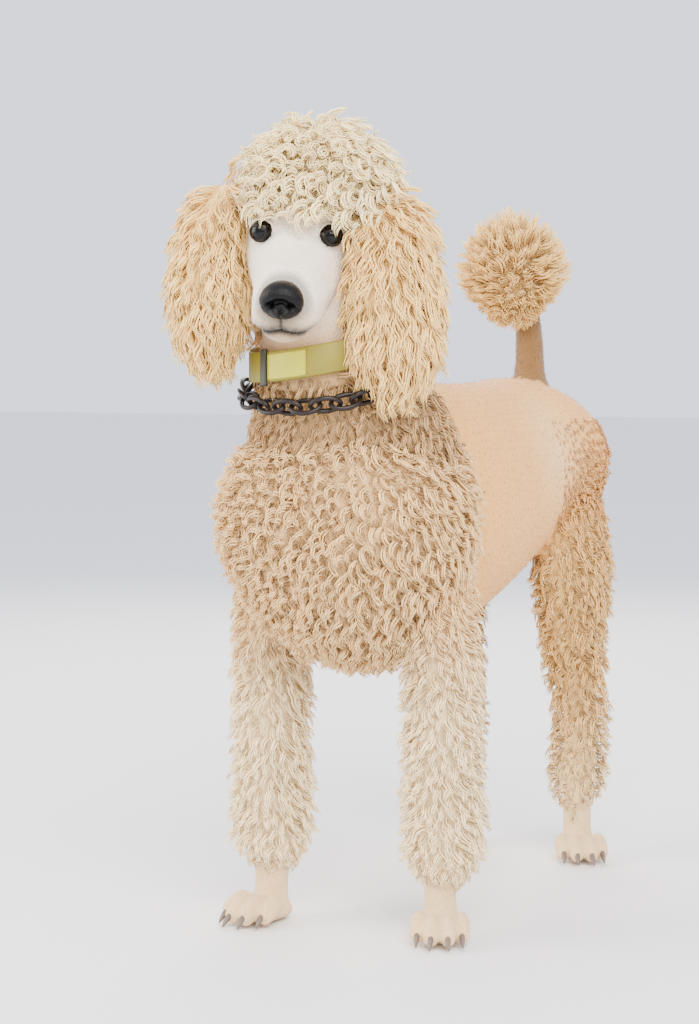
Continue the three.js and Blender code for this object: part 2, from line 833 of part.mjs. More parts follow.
add(dog, "torso", torso, FINISH.cream);

// Neck between torso and head, with the collar's band and chain round it.
const bandRoom = roomFor(band());
const neckSolid = largest(
  neck
    .solid(9, 16)
    .subtract(joined([torsoRoom, headRoom, bandRoom])),
);
add(dog, "neck", neckSolid, FINISH.cream);
add(headGroup, "head", headLocal, FINISH.face);
add(headGroup, "nose", nose(0), FINISH.leather);
sides.forEach(({ name, index }) => {
  const side = 1 - 2 * index;
  add(headGroup, "eye_" + name, eyeball(side, 0), FINISH.eye);
});

sides.forEach(({ name }) => {
  const made = largest(
    ear(EAR[name], name === "left" ? 31 : 37).subtract(
      joined([headRoom, roomFor(neckSolid), torsoRoom, bandRoom, chainRoom()]),
    ),
  );
  add(dog, "ear_" + name, made, FINISH.apricot);
});

// Legs and paws.
sides.forEach(({ name, index }) => {
  const clearOfTorso = (p, margin) => p.z < 330 - margin;
  const legs = [
    {
      title: "foreleg_" + name,
      form: legForms[index],
      foot: [FORELEG.x[index], FORELEG.y[index] - 6],
      turn: PAW.turn.fore[index],
      cuff: FORELEG.cuffZ,
      keep: clearOfTorso,
      counts: [12, 12],
      to: 0.8,
    },
    {
      title: "hindleg_" + name,
      form: hindForms[index],
      foot: [HINDLEG.footX[index] * 1.04, HINDLEG.footY + 2],
      turn: PAW.turn.hind[index],
      cuff: HINDLEG.cuffZ,
      keep: (p, margin) =>
        p.z < 470 && Math.abs(p.x) > 24 && (p.z < 350 || Math.abs(p.x) > 96 || p.y > 480 + margin),
      counts: [16, 12],
      to: 0.86,
    },
  ];
  for (const leg of legs) {
    const coat = {
      pitch: 82,
      core: -legCore,
      tall: legCore,
      lie: [0, 0, -1],
      seed: 60 + index,
      from: 0.12,
      to: leg.to,
      keep: leg.keep,
    };
    const legCurls = curls(leg.form, coat);
    const cuffFloor = leg.cuff + 10;
    const legSolid = largest(
      joined([leg.form.solid(...leg.counts, -legCore), ...legCurls])
        .subtract(torsoRoom)
        .trimByPlane([0, 0, 1], cuffFloor),
    );
    add(dog, leg.title, legSolid, FINISH.pale);
    const footMatrix = new THREE.Matrix4()
      .makeRotationZ(THREE.MathUtils.degToRad(leg.turn))
      .setPosition(leg.foot[0], leg.foot[1], 0);
    const pawSolid = place(paw(leg.cuff + 40), footMatrix).trimByPlane(
      [0, 0, -1],
      GAP - cuffFloor,
    );
    add(dog, leg.title.replace("leg", "paw"), largest(pawSolid), FINISH.bare);
  }
});

// Tail.
const plumeSolid = largest(plume());
const stalk = largest(tailStalk().subtract(joined([torsoRoom, roomFor(plumeSolid)])));
add(dog, "tail", stalk, FINISH.bare);
add(dog, "tail_plume", plumeSolid, FINISH.apricot);

// Collar.
add(dog, "collar_band", band(), FINISH.band);
add(dog, "collar_keeper", keeper(), FINISH.keeper);
add(dog, "collar_chain", largest(chain()), FINISH.steel);

export default dog;
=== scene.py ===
"""Looks of a standing standard poodle in a pet trim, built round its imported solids.

One skin is made from smooth forms and covered with tufts of solid mesh: ropes of curls on the crown, chest
and hind legs, brushed waves on the forelegs, long locks on the ears, and short hair on face, back and feet.
Sizes are in millimetres in the dog's own frame (its left is +X, it faces -Y, Z is up) and turned into the
row's metres in one place.
"""

from __future__ import annotations

import logging
import math
from dataclasses import dataclass, field
from enum import Enum
from typing import Any, Callable, Iterable, Sequence

import bpy
import numpy as np
from mathutils import Matrix, Vector
from mathutils.kdtree import KDTree

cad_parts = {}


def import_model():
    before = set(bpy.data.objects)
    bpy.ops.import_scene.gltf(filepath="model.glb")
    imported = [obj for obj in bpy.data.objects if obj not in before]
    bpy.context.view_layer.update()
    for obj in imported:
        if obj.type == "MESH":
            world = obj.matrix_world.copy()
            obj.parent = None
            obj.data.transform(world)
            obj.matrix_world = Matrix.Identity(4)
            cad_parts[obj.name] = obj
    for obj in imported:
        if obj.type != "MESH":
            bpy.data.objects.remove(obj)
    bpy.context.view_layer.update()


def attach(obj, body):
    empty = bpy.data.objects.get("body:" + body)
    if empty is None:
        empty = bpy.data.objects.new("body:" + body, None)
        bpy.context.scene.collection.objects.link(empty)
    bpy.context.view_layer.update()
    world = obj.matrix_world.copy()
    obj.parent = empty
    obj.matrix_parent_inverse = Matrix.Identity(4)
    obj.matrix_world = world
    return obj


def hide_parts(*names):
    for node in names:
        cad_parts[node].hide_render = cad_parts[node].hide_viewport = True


LOG = logging.getLogger("poodle")
CENTRE = np.array([-2.0, 120.0, 0.0])  # middle of the footprint in the dog's own frame
BODY = "root"
HEAD_AT = (15.0, -180.0, 752.0)
HEAD_TURNS = (("Z", 21), ("X", 20), ("Y", 4))  # degrees, the first one outermost
EYE_SPREAD = 35.0
EYE_RADIUS = 12.5
NOSE_REACH = 122.0
SIDES = ((1, "left"), (-1, "right"))
PATCH = 0.003  # the width of one tuft's patch on the OFBake map
BAND_EDGES = (616.0, 656.0)  # heights of the flat collar's edges in the middle of the neck
BAND_RISE = 0.16  # how fast the flat collar rises to the back
BAND_MIDDLE = -82.0  # the middle of the neck, to the back
Array = np.ndarray


def row(points: Array) -> Array:
    """Turns points of the dog's own frame into the row's metres."""
    return (np.asarray(points, dtype=float) - CENTRE) / 1000.0


def head_matrix() -> Array:
    """Gives the place and turn of the head.

    Returns:
        A 4 by 4 matrix from the head's own frame to the dog's, in millimetres.
    """
    turn = Matrix.Identity(4)
    for axis, angle in HEAD_TURNS:
        turn = turn @ Matrix.Rotation(math.radians(angle), 4, axis)
    return np.array(Matrix.Translation(HEAD_AT) @ turn)


def moved(points: Array, matrix: Array) -> Array:
    """Moves points by a matrix."""
    return np.asarray(points, dtype=float) @ matrix[:3, :3].T + matrix[:3, 3]


def in_head(points: Array) -> Array:
    """Turns points of the dog's own frame into the head's."""
    return moved(points, np.linalg.inv(head_matrix()))


def unit(vectors: Array) -> Array:
    """Scales vectors to length 1."""
    return vectors / np.maximum(np.linalg.norm(vectors, axis=-1, keepdims=True), 1e-9)


def bell(values: Array, width: float) -> Array:
    """Gives 1 at zero, falling off smoothly to both sides."""
    return np.exp(-((values / width) ** 2))


def light(red: int, green: int, blue: int) -> tuple[float, float, float]:
    """Turns a screen colour into the linear one that shaders use."""
    return tuple(((c / 255 + 0.055) / 1.055) ** 2.4 for c in (red, green, blue))


def new_object(name: str, mesh: bpy.types.Mesh) -> bpy.types.Object:
    """Puts a mesh into the scene.

    Args:
        name: The object's name.
        mesh: Its mesh.

    Returns:
        The object, at the origin.
    """
    made = bpy.data.objects.new(name, mesh)
    bpy.context.scene.collection.objects.link(made)
    return made


def new_mesh(name: str, points: Array, faces: Sequence) -> bpy.types.Mesh:
    """Makes a smooth mesh.

    Args:
        name: The mesh's name.
        points: Its vertices in metres.
        faces: Its faces as lists of vertex numbers.

    Returns:
        The mesh.
    """
    mesh = bpy.data.meshes.new(name)
    mesh.from_pydata(np.asarray(points).tolist(), [], [list(map(int, f)) for f in faces])
    mesh.shade_smooth()
    mesh.update()
    return mesh


def values_of(items: Any, name: str, wide: int = 1, kind: type = float) -> Array:
    """Reads one value of each item of a mesh.

    Args:
        items: The mesh's vertices, loops or faces, or an attribute's data.
        name: The value's name.
        wide: How many numbers it has.
        kind: Their type.

    Returns:
        One line an item, or one number an item where wide is 1.
    """
    flat = np.empty(len(items) * wide, dtype=kind)
    items.foreach_get(name, flat)
    return flat.reshape(-1, wide) if wide > 1 else flat


def places(mesh: bpy.types.Mesh) -> Array:
    """Gives a mesh's vertices in the dog's own frame."""
    return values_of(mesh.vertices, "co", 3) * 1000.0 + CENTRE


def settle(piece: bpy.types.Object) -> bpy.types.Object:
    """Turns a piece with modifiers into a plain mesh.

    Args:
        piece: The piece.

    Returns:
        The same piece, with its modifiers applied and removed.
    """
    graph = bpy.context.evaluated_depsgraph_get()
    graph.update()
    mesh = bpy.data.meshes.new_from_object(piece.evaluated_get(graph))
    piece.modifiers.clear()
    old = piece.data
    piece.data = mesh
    bpy.data.meshes.remove(old)
    return piece


def show(piece: bpy.types.Object, finish: "Finish", slot: str, *nodes: str) -> None:
    """Hands a finished piece to the frame.

    Args:
        piece: The piece.
        finish: What it is made of.
        slot: A material slot's name; not used.
        nodes: The solids that it stands for.
    """
    if not piece.data.materials:
        piece.data.materials.append(finish.material())
    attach(piece, BODY)
    if nodes:
        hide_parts(*nodes)
    triangles = sum(len(face.vertices) - 2 for face in piece.data.polygons)
    LOG.info("%s: %d triangles", piece.name, triangles)


@dataclass
class Bench:
    """Builds node trees, for shaders and for geometry."""

    tree: bpy.types.NodeTree

    def feed(self, node: bpy.types.Node, sockets: dict) -> None:
        """Sets a node's inputs.

        Args:
            node: The node.
            sockets: Values, sockets or wires by the inputs' names or numbers.
        """
        for key, value in sockets.items():
            value = value.end if isinstance(value, Wire) else value
            if isinstance(value, bpy.types.NodeSocket):
                self.tree.links.new(value, node.inputs[key])
            else:
                node.inputs[key].default_value = value

    def node(self, kind: str, settings: dict | None = None, sockets: dict | None = None) -> bpy.types.Node:
        """Adds one node.

        Args:
            kind: The node's type.
            settings: Its properties.
            sockets: Its inputs.

        Returns:
            The node.
        """
        made = self.tree.nodes.new(kind)
        for name, value in (settings or {}).items():
            setattr(made, name, value)
        self.feed(made, sockets or {})
        return made

    def wire(
        self, kind: str, settings: dict | None = None, sockets: dict | None = None, out: Any = 0
    ) -> "Wire":
        """Adds one node and takes one of its outputs."""
        return Wire(self, self.node(kind, settings, sockets).outputs[out])

    def blend(self, share: Any, first: Any, second: Any, how: str = "MIX") -> "Wire":
        """Mixes two colours by a share of the second."""
        settings = {"data_type": "RGBA", "blend_type": how}
        return self.wire("ShaderNodeMix", settings, {0: share, 6: first, 7: second}, 2)

    def noise(self, place: "Wire", scale: float, detail: float = 3.0) -> "Wire":
        """Gives a noise, 0 to 1, at a place."""
        sockets = {"Vector": place, "Scale": scale, "Detail": detail}
        return self.wire("ShaderNodeTexNoise", {}, sockets)

    def bump(self, height: "Wire", strength: float, distance: float) -> "Wire":
        """Gives the normal of a surface with a relief."""
        sockets = {"Strength": strength, "Distance": distance, "Height": height}
        return self.wire("ShaderNodeBump", {}, sockets)

    def reading(self, name: str, out: str) -> "Wire":
        """Reads an attribute of the surface in a shader."""
        return self.wire("ShaderNodeAttribute", {"attribute_name": name}, out=out)

    def read(self, name: str, kind: str) -> "Wire":
        """Reads a named attribute in a geometry tree."""
        return self.wire("GeometryNodeInputNamedAttribute", {"data_type": kind}, {"Name": name})


@dataclass(frozen=True)
class Wire:
    """An output of a node that takes part in plain arithmetic."""

    bench: Bench
    end: bpy.types.NodeSocket

    def sum(self, how: str, *others: Any) -> "Wire":
        """Does one step of arithmetic on numbers."""
        values = dict(enumerate((self, *others)))
        return self.bench.wire("ShaderNodeMath", {"operation": how}, values)

    def vector(self, how: str, sockets: dict) -> "Wire":
        """Does one step of arithmetic on vectors."""
        return self.bench.wire("ShaderNodeVectorMath", {"operation": how}, {0: self, **sockets})

    def __add__(self, other: Any) -> "Wire":
        """Adds."""
        return self.sum("ADD", other)

    def __mul__(self, other: Any) -> "Wire":
        """Multiplies."""
        return self.sum("MULTIPLY", other)

    def __sub__(self, other: Any) -> "Wire":
        """Subtracts."""
        return self.sum("SUBTRACT", other)

    def __rsub__(self, other: Any) -> "Wire":
        """Subtracts this value from another."""
        return (self * -1.0) + other

    def __pow__(self, other: Any) -> "Wire":
        """Raises to a power."""
        return self.sum("POWER", other)

    __radd__ = __add__
    __rmul__ = __mul__

    def scaled(self, by: Any) -> "Wire":
        """Scales a vector or colour by one factor."""
        return self.vector("SCALE", {"Scale": by})

    def stretched(self, by: Sequence[float]) -> "Wire":
        """Multiplies a vector by another, part by part."""
        return self.vector("MULTIPLY", {1: by})

    def moved_by(self, *others: "Wire") -> "Wire":
        """Adds vectors to this one.

        Args:
            others: The vectors.

        Returns:
            The sum.
        """
        sums = [self]
        for other in others:
            sums.append(sums[-1].vector("ADD", {1: other}))
        return sums[-1]


@dataclass(frozen=True)
class Finish:
    """A plain finish with a little grain."""

    name: str
    colour: tuple[float, float, float] = (1.0, 1.0, 1.0)
    roughness: float = 0.5
    metallic: float = 0.0
    grain: float = 0.0
    grain_size: float = 400.0
    spread: float = 0.12
    gleam: float = 0.5

    def material(self) -> bpy.types.Material:
        """Gives the material, made once.

        Returns:
            The material.
        """
        found = bpy.data.materials.get(self.name)
        if found:
            return found
        material = bpy.data.materials.new(self.name)
        material.use_nodes = True
        bench = Bench(material.node_tree)
        self.dress(bench, material.node_tree.nodes["Principled BSDF"])
        return material

    def dress(self, bench: Bench, shader: bpy.types.Node) -> None:
        """Builds the shader.

        Args:
            bench: The material's tree.
            shader: Its main shader.
        """
        noise = bench.noise(bench.wire("ShaderNodeTexCoord", out="Object"), self.grain_size)
        colour = bench.wire("ShaderNodeRGB")
        colour.end.default_value = (*self.colour, 1.0)
        sockets = {
            "Base Color": colour.scaled((noise - 0.5) * self.spread + 1.0),
            "Roughness": (noise - 0.5) * 0.1 + self.roughness,
            "Metallic": self.metallic,
            "Specular IOR Level": self.gleam,
        }
        if self.grain:
            sockets["Normal"] = bench.bump(noise, self.grain, 0.0006)
        bench.feed(shader, sockets)


@dataclass(frozen=True)
class SkinFinish(Finish):
    """The clipped coat: its colour comes from the skin's markings, with their painted shade and highlight,
    its nap from fine bump.
    """

    nap: float = 0.9

    def dress(self, bench: Bench, shader: bpy.types.Node) -> None:
        """Builds the shader.

        Args:
            bench: The material's tree.
            shader: Its main shader.
        """
        place = bench.wire("ShaderNodeTexCoord", out="Object")
        fine = bench.noise(place.stretched((1.0, 0.35, 0.55)), 900.0, 4.0)
        broad = bench.noise(place, 70.0)
        shade = (fine - 0.5) * 0.44 + (broad - 0.5) * 0.24 + 1.0
        sockets = {
            "Base Color": bench.reading("tint", "Color").scaled(shade),
            "Roughness": (fine - 0.5) * 0.2 + 0.78,
            "Specular IOR Level": 0.25,
            "Sheen Weight": 0.2,
            "Normal": bench.bump(fine + broad * 0.7, self.nap, 0.002),
        }
        bench.feed(shader, sockets)


@dataclass(frozen=True)
class CoatFinish(Finish):
    """Hair: the skin's markings with painted shade, darker and warmer at the root, and painted light at the
    tip, with fine streaks along each lock.
    """

    # painted shade at the root and painted light at the tip, as shares of the markings
    root_painted_shade: float = 0.9
    tip_painted_light: float = 1.12

    def dress(self, bench: Bench, shader: bpy.types.Node) -> None:
        """Builds the shader.

        Args:
            bench: The material's tree.
            shader: Its main shader.
        """
        strand = bench.reading("strand", "Vector")
        along = bench.wire("ShaderNodeSeparateXYZ", {}, {0: strand}, 1)
        streak = bench.noise(strand.stretched((9.0, 0.8, 40.0)), 1.0)
        # painted shade towards each lock's root, where the tufts crowd, and painted light at its tip
        shade = (
            (along**0.8) * (self.tip_painted_light - self.root_painted_shade)
            + self.root_painted_shade
            + (bench.reading("tone", "Fac") - 0.5) * 0.2
            + (streak - 0.5) * 0.3
        )
        tint = bench.reading("tint", "Color")
        # painted golden shade: the colour turns warmer towards the root
        root_shaded_tint = bench.blend((1.0 - along) * 0.55, tint, (0.95, 0.8, 0.6, 1.0), "MULTIPLY")
        sockets = {
            "Base Color": root_shaded_tint.scaled(shade),
            "Roughness": (streak - 0.5) * 0.2 + 0.62,
            "Specular IOR Level": 0.3,
            "Sheen Weight": 0.5,
            "Sheen Roughness": 0.4,
            "Sheen Tint": (1.0, 0.86, 0.66, 1.0),
            "Normal": bench.bump(streak, 0.5, 0.0008),
        }
        bench.feed(shader, sockets)


def smooth_rows(rows: Array, count: int) -> Array:
    """Runs a smooth curve through rows of numbers.

    Args:
        rows: The rows to pass through.
        count: How many rows to give back.

    Returns:
        Rows evenly spaced along the curve.
    """
    rows = np.asarray(rows, dtype=float)
    padded = np.vstack([2 * rows[0] - rows[1], rows, 2 * rows[-1] - rows[-2]])
    places = np.linspace(0, len(rows) - 1, count)
    start = np.minimum(places.astype(int), len(rows) - 2)
    t = (places - start)[:, None]
    a, b, c, d = (padded[start + k] for k in range(4))
    return 0.5 * (
        2 * b + (c - a) * t + (2 * a - 5 * b + 4 * c - d) * t**2 + (3 * b - a - 3 * c + d) * t**3
    )


@dataclass
class Form:
    """A smooth form through stations [x, y, z, half width, half depth] in millimetres."""

    stations: Sequence[Sequence[float]]
    facing: tuple[float, float, float] | None = None
    across: tuple[float, float, float] = (1.0, 0.0, 0.0)
    matrix: Array | None = None

    def surface(self, rings: int, sides: int, out: float = 0.0) -> tuple[Array, list]:
        """Makes the form's surface.

        Args:
            rings: Rings along the spine.
            sides: Points round each ring.
            out: How far the surface is moved outwards.

        Returns:
            Its points in the dog's own frame, and its faces.
        """
        rows = smooth_rows(self.stations, rings)
        spine, sizes = rows[:, :3], np.maximum(rows[:, 3:] + out, 1.0)
        along = (
            np.tile(unit(np.array(self.facing)), (rings, 1))
            if self.facing
            else unit(np.gradient(spine, axis=0))
        )
        deep = unit(np.cross(along, np.array(self.across)))
        wide = unit(np.cross(deep, along))
        angle = np.linspace(0, 2 * math.pi, sides, endpoint=False)
        ring = (
            spine[:, None]
            + wide[:, None] * (sizes[:, 0:1] * np.cos(angle))[..., None]
            + deep[:, None] * (sizes[:, 1:2] * np.sin(angle))[..., None]
        )
        ends = np.array([spine[0] - along[0] * max(out, 0), spine[-1] + along[-1] * max(out, 0)])
        points = np.vstack([ring.reshape(-1, 3), ends])
        if self.matrix is not None:
            points = moved(points, self.matrix)
        faces = []
        last = rings * sides
        for k in range(sides):
            n = (k + 1) % sides
            faces.append((last, n, k))
            faces.append((last + 1, last - sides + k, last - sides + n))
            for r in range(rings - 1):
                lo, hi = r * sides, (r + 1) * sides
                faces.append((lo + k, lo + n, hi + n, hi + k))
        return points, faces


class Zone(Enum):
    """The parts of the coat."""

    SADDLE = 0
    CHEST = 1
    NECK = 2
    FORELEGS = 3
    HINDLEGS = 4
    CROWN = 5
    EARS = 6
    FACE = 7
    TAIL = 8
    PLUME = 9
    PAWS = 10
    NAPE = 11


@dataclass
class Member:
    """A form of the skin with the coat that grows on it."""

    zone: Zone
    form: Form
    depth: float
    rings: int = 40
    sides: int = 36


@dataclass
class Frame:
    """The forms of the whole dog, out to the tips of its coat."""

    chest_rows: tuple = (
        (-158, 480, 450, 8),
        (-148, 540, 388, 84),
        (-118, 578, 338, 122),
        (-78, 594, 303, 140),
        (-36, 606, 284, 145),
        (4, 612, 278, 139),
        (38, 612, 286, 127),
        (60, 606, 302, 112),
        (74, 570, 350, 70),
    )
    saddle_rows: tuple = (
        (4, 480, 420, 4),
        (18, 570, 340, 84),
        (60, 603, 302, 106),
        (130, 604, 304, 113),
        (200, 601, 320, 111),
        (270, 601, 340, 106),
        (330, 604, 364, 105),
        (380, 607, 388, 108),
        (430, 604, 408, 111),
        (468, 590, 424, 106),
        (496, 562, 442, 84),
        (514, 528, 468, 46),
        (520, 505, 495, 6),
    )
    skull_rows: tuple = (
        (-113, -38, -62, 8),
        (-109, -26, -76, 23),
        (-98, -18, -84, 30),
        (-80, -11, -88, 35),
        (-56, -6, -89, 38),
        (-30, -1, -89, 41),
        (-8, 8, -91, 46),
        (12, 24, -93, 52),
        (40, 38, -94, 59),
        (72, 44, -88, 60),
        (102, 40, -70, 53),
        (126, 24, -46, 38),
        (138, 0, -20, 8),
    )

    @staticmethod
    def along_y(rows: Sequence, matrix: Array | None = None) -> Form:
        """Makes a form from rows of y, top, bottom and half width."""
        stations = [(0, y, (top + low) / 2, wide, (top - low) / 2) for y, top, low, wide in rows]
        return Form(stations, facing=(0, 1, 0), matrix=matrix)

    def foreleg(self, x: float, y: float) -> Form:
        """Makes a foreleg.

        Args:
            x: Its place to the left.
            y: Its place to the back.

        Returns:
            The form.
        """
        cuff, r = 47, 52
        rows = (
            (x, y + 6, cuff, 4, 4),
            (x, y + 5, cuff + 6, 30, 32),
            (x, y + 4, cuff + 22, 46, 49),
            (x, y + 3, cuff + 52, r + 1, r + 5),
            (x, y + 2, 170, r, r + 4),
            (x * 0.99, y, 240, r - 2, r + 4),
            (x * 0.97, y - 2, 310, r - 2, r + 9),
            (x * 0.9, y - 6, 380, r - 4, r + 14),
            (x * 0.78, y - 8, 430, 40, 56),
            (x * 0.74, y - 8, 452, 6, 8),
        )
        return Form(rows, facing=(0, 0, 1))

    def hindleg(self, foot: float) -> Form:
        """Makes a hind leg.

        Args:
            foot: The foot's place to the left.

        Returns:
            The form.
        """
        side, y, cuff = math.copysign(1, foot), 458, 54
        inset = foot - side * 84
        rows = (
            (foot, y + 2, cuff, 4, 4),
            (foot, y + 2, cuff + 6, 27, 29),
            (foot, y + 3, cuff + 20, 40, 43),
            (foot, y + 6, cuff + 44, 44, 48),
            (foot - inset * 0.1, y + 9, 140, 43, 48),
            (foot - inset * 0.3, y + 4, 185, 42, 50),
            (foot - inset * 0.5, y - 16, 235, 43, 57),
            (foot - inset * 0.7, y - 40, 290, 45, 68),
            (side * 84, y - 54, 345, 48, 84),
            (side * 80, y - 52, 400, 50, 98),
            (side * 73, y - 46, 455, 48, 98),
            (side * 62, y - 42, 505, 42, 84),
            (side * 54, y - 42, 540, 8, 10),
        )
        return Form(rows, facing=(0, 0, 1))

    @staticmethod
    def dome(
        at: Sequence[float], radii: Sequence[float], low: float, matrix: Array | None = None
    ) -> Form:
        """Makes a ball, or a dome cut off below.

        Args:
            at: Its centre.
            radii: Its half sizes.
            low: The angle of its lower rim, in degrees.
            matrix: The frame that it is in.

        Returns:
            The form.
        """
        rows = []
        for angle in np.radians(np.linspace(low, 89, 14)):
            across = max(0.04, math.cos(angle))
            up = at[2] + radii[2] * math.sin(angle)
            rows.append((at[0], at[1], up, radii[0] * across, radii[1] * across))
        return Form(rows, facing=(0, 0, 1), matrix=matrix)

    def body(self) -> list[Member]:
        """Gives the forms of the body.

        Returns:
            The members, from chest to tail.
        """
        neck = Form(
            (
                (0, 10, 460, 60, 60),
                (0, -18, 515, 116, 116),
                (0, -46, 562, 108, 112),
                (1, -72, 598, 87, 93),
                (2, -84, 630, 77, 84),
                (3, -92, 655, 74, 80),
            ),
            facing=(0, -0.35, 0.94),
        )
        tail = Form(
            (
                (6, 446, 540, 10, 10),
                (6, 450, 580, 27, 29),
                (6, 449, 614, 21, 22),
                (6, 447, 658, 19, 20),
                (5, 438, 700, 16, 16),
                (5, 420, 730, 8, 8),
            )
        )
        members = [
            Member(Zone.SADDLE, self.along_y(self.saddle_rows), 2.0, 70, 56),
            Member(Zone.CHEST, self.along_y(self.chest_rows), 24.0, 40, 56),
            Member(Zone.NECK, neck, 15.0, 30, 40),
            Member(Zone.TAIL, tail, 2.0, 24, 20),
            Member(Zone.PLUME, self.dome((2, 404, 730), (75, 75, 62), -89), 38.0, 20, 24),
        ]
        for x, y in ((95, 2), (-113, -6)):
            members.append(Member(Zone.FORELEGS, self.foreleg(x, y), 24.0))
        for foot in (67, -101):
            members.append(Member(Zone.HINDLEGS, self.hindleg(foot), 22.0, 50))
        return members

    def head(self) -> list[Member]:
        """Gives the forms of the head.

        Returns:
            The members.
        """
        place = head_matrix()
        throat = Form(
            (
                (2, -84, 612, 50, 60),
                (2, -84, 622, 73, 81),
                (2, -86, 650, 72, 80),
                (4, -96, 684, 62, 72),
                (4, -100, 720, 58, 70),
                (2, -104, 770, 20, 20),
            ),
            facing=(0, -0.35, 0.94),
        )
        members = [
            Member(Zone.FACE, self.along_y(self.skull_rows, place), 1.0, 70, 60),
            Member(Zone.FACE, throat, 0.0, 24, 36),
            Member(Zone.CROWN, self.dome((16, 62, 22), (101, 97, 73), -40, place), 40.0, 24, 40),
        ]
        for side in (-1, 1):
            brow = self.dome((side * 33, 13, -3), (18, 20, 17), -89, place)
            members.append(Member(Zone.FACE, brow, 0.0, 16, 20))
        return members

    def ears(self) -> list[Member]:
        """Gives the two ears' pads.

        Returns:
            The members.
        """
        members = []
        left, right = (93, -114, 681, 55, 68, 126, 1), (-95, -166, 706, 41, 56, 114, -1)
        for x, y, z, wide, deep, tall, side in (left, right):
            rows = (
                (x - side * 30, y + 6, z + tall * 0.84, 6, 8),
                (x - side * 22, y + 5, z + tall * 0.74, wide * 0.4, deep * 0.46),
                (x - side * 8, y + 3, z + tall * 0.4, wide * 0.58, deep * 0.64),
                (x - side * 2, y, z, wide * 0.62, deep * 0.7),
                (x, y, z - tall * 0.36, wide * 0.54, deep * 0.62),
                (x, y, z - tall * 0.62, 12, 18),
            )
            members.append(Member(Zone.EARS, Form(rows), 0.0, 30, 32))
        return members

    def paws(self) -> list[tuple[Array, float]]:
        """Gives the places of the four paws.

        Returns:
            The frame of each, and how high its pastern reaches.
        """
        feet = ((95, -4, 24, 92), (-113, -12, -6, 92), (70, 460, 30, 100), (-105, 460, -14, 100))
        return [
            (np.array(Matrix.Translation((x, y, 0)) @ Matrix.Rotation(math.radians(a), 4, "Z")), top)
            for x, y, a, top in feet
        ]


@dataclass
class Paw:
    """A clipped paw with four arched toes."""

    place: Array
    top: float
    toes: tuple = ((-0.37, 0.7), (-0.13, 0.86), (0.13, 0.86), (0.37, 0.7))
    length: float = 88.0
    width: float = 62.0

    def members(self) -> list[Member]:
        """Gives the forms of the paw.

        Returns:
            The members.
        """
        top = self.top
        pastern = ((0, 4, 8, 8, 8), (0, 2, 16, 20, 22), (0, 5, 38, 18, 21), (0, 8, top - 16, 17, 20))
        pad = (
            (0, 24, 11, 5, 5),
            (0, 18, 11, 20, 12),
            (0, -2, 12, 27, 13),
            (0, -24, 12, 26, 12),
            (0, -36, 11, 16, 10),
            (0, -40, 11, 4, 4),
        )
        rows = [(*pastern, (0, 8, top, 4, 4)), pad]
        for x, tip, spread in self.tips():
            rows.append(
                (
                    (x * 0.7, -8, 16, 4, 4),
                    (x * 0.8, -18, 20, 8.5, 11),
                    (x, tip + 26, 23, 9.3, 12),
                    (x + spread, tip + 10, 16.5, 9.3, 12),
                    (x + spread, tip + 2, 11, 8, 9),
                    (x + spread, tip - 2, 9, 3, 3),
                )
            )
        return [Member(Zone.PAWS, Form(r, matrix=self.place), 0.6, 26, 24) for r in rows]

    def tips(self) -> list[tuple[float, float, float]]:
        """Gives where each toe ends, to the side and to the back, and the side that it turns to."""
        length, width = self.length, self.width
        return [(s * width, -length * r + 14, math.copysign(1, s)) for s, r in self.toes]

    def claws(self) -> list[Form]:
        """Gives the four claws.

        Returns:
            Their forms.
        """
        made = []
        for x, tip, spread in self.tips():
            rows = (
                (x + spread, tip + 8, 15, 2, 2),
                (x + spread, tip - 1, 14, 3.2, 3.6),
                (x + spread * 1.5, tip - 8, 9, 2.4, 2.8),
                (x + spread * 2, tip - 12.6, 4.2, 0.8, 0.8),
            )
            made.append(Form(rows, matrix=self.place))
        return made


def sleeve(rows: Sequence[Array], closed: bool = True) -> tuple[Array, list]:
    """Joins lines of points that run side by side into a sleeve.

    Args:
        rows: The lines, in order round the sleeve.
        closed: Whether each line ends where it starts.

    Returns:
        Its points and faces, with a face on each open end.
    """
    count, sides, faces = len(rows[0]), len(rows), []
    for s in range(sides):
        one, two = s * count, (s + 1) % sides * count
        for k in range(count if closed else count - 1):
            m = (k + 1) % count
            faces.append((one + k, one + m, two + m, two + k))
    if not closed:
        faces.append(tuple(s * count for s in range(sides)))
        faces.append(tuple(s * count + count - 1 for s in reversed(range(sides))))
    return np.vstack(rows), faces


def around(line: Array, first: Array, second: Array, sides: int = 8) -> list[Array]:
    """Gives lines that run round a middle line at two half sizes."""
    turns = [2 * math.pi * s / sides for s in range(sides)]
    return [line + first * math.cos(turn) + second * math.sin(turn) for turn in turns]


def gathered(name: str, surfaces: Iterable[tuple[Array, list]]) -> bpy.types.Mesh:
    """Joins surfaces into one mesh.

    Args:
        name: The mesh's name.
        surfaces: Points in the dog's own frame, and faces.

    Returns:
        The mesh, in metres.
    """
    points, faces, base = [], [], 0
    for spots, sides in surfaces:
        points.append(spots)
        faces.extend([tuple(i + base for i in f) for f in sides])
        base += len(spots)
    return new_mesh(name, row(np.vstack(points)), faces)


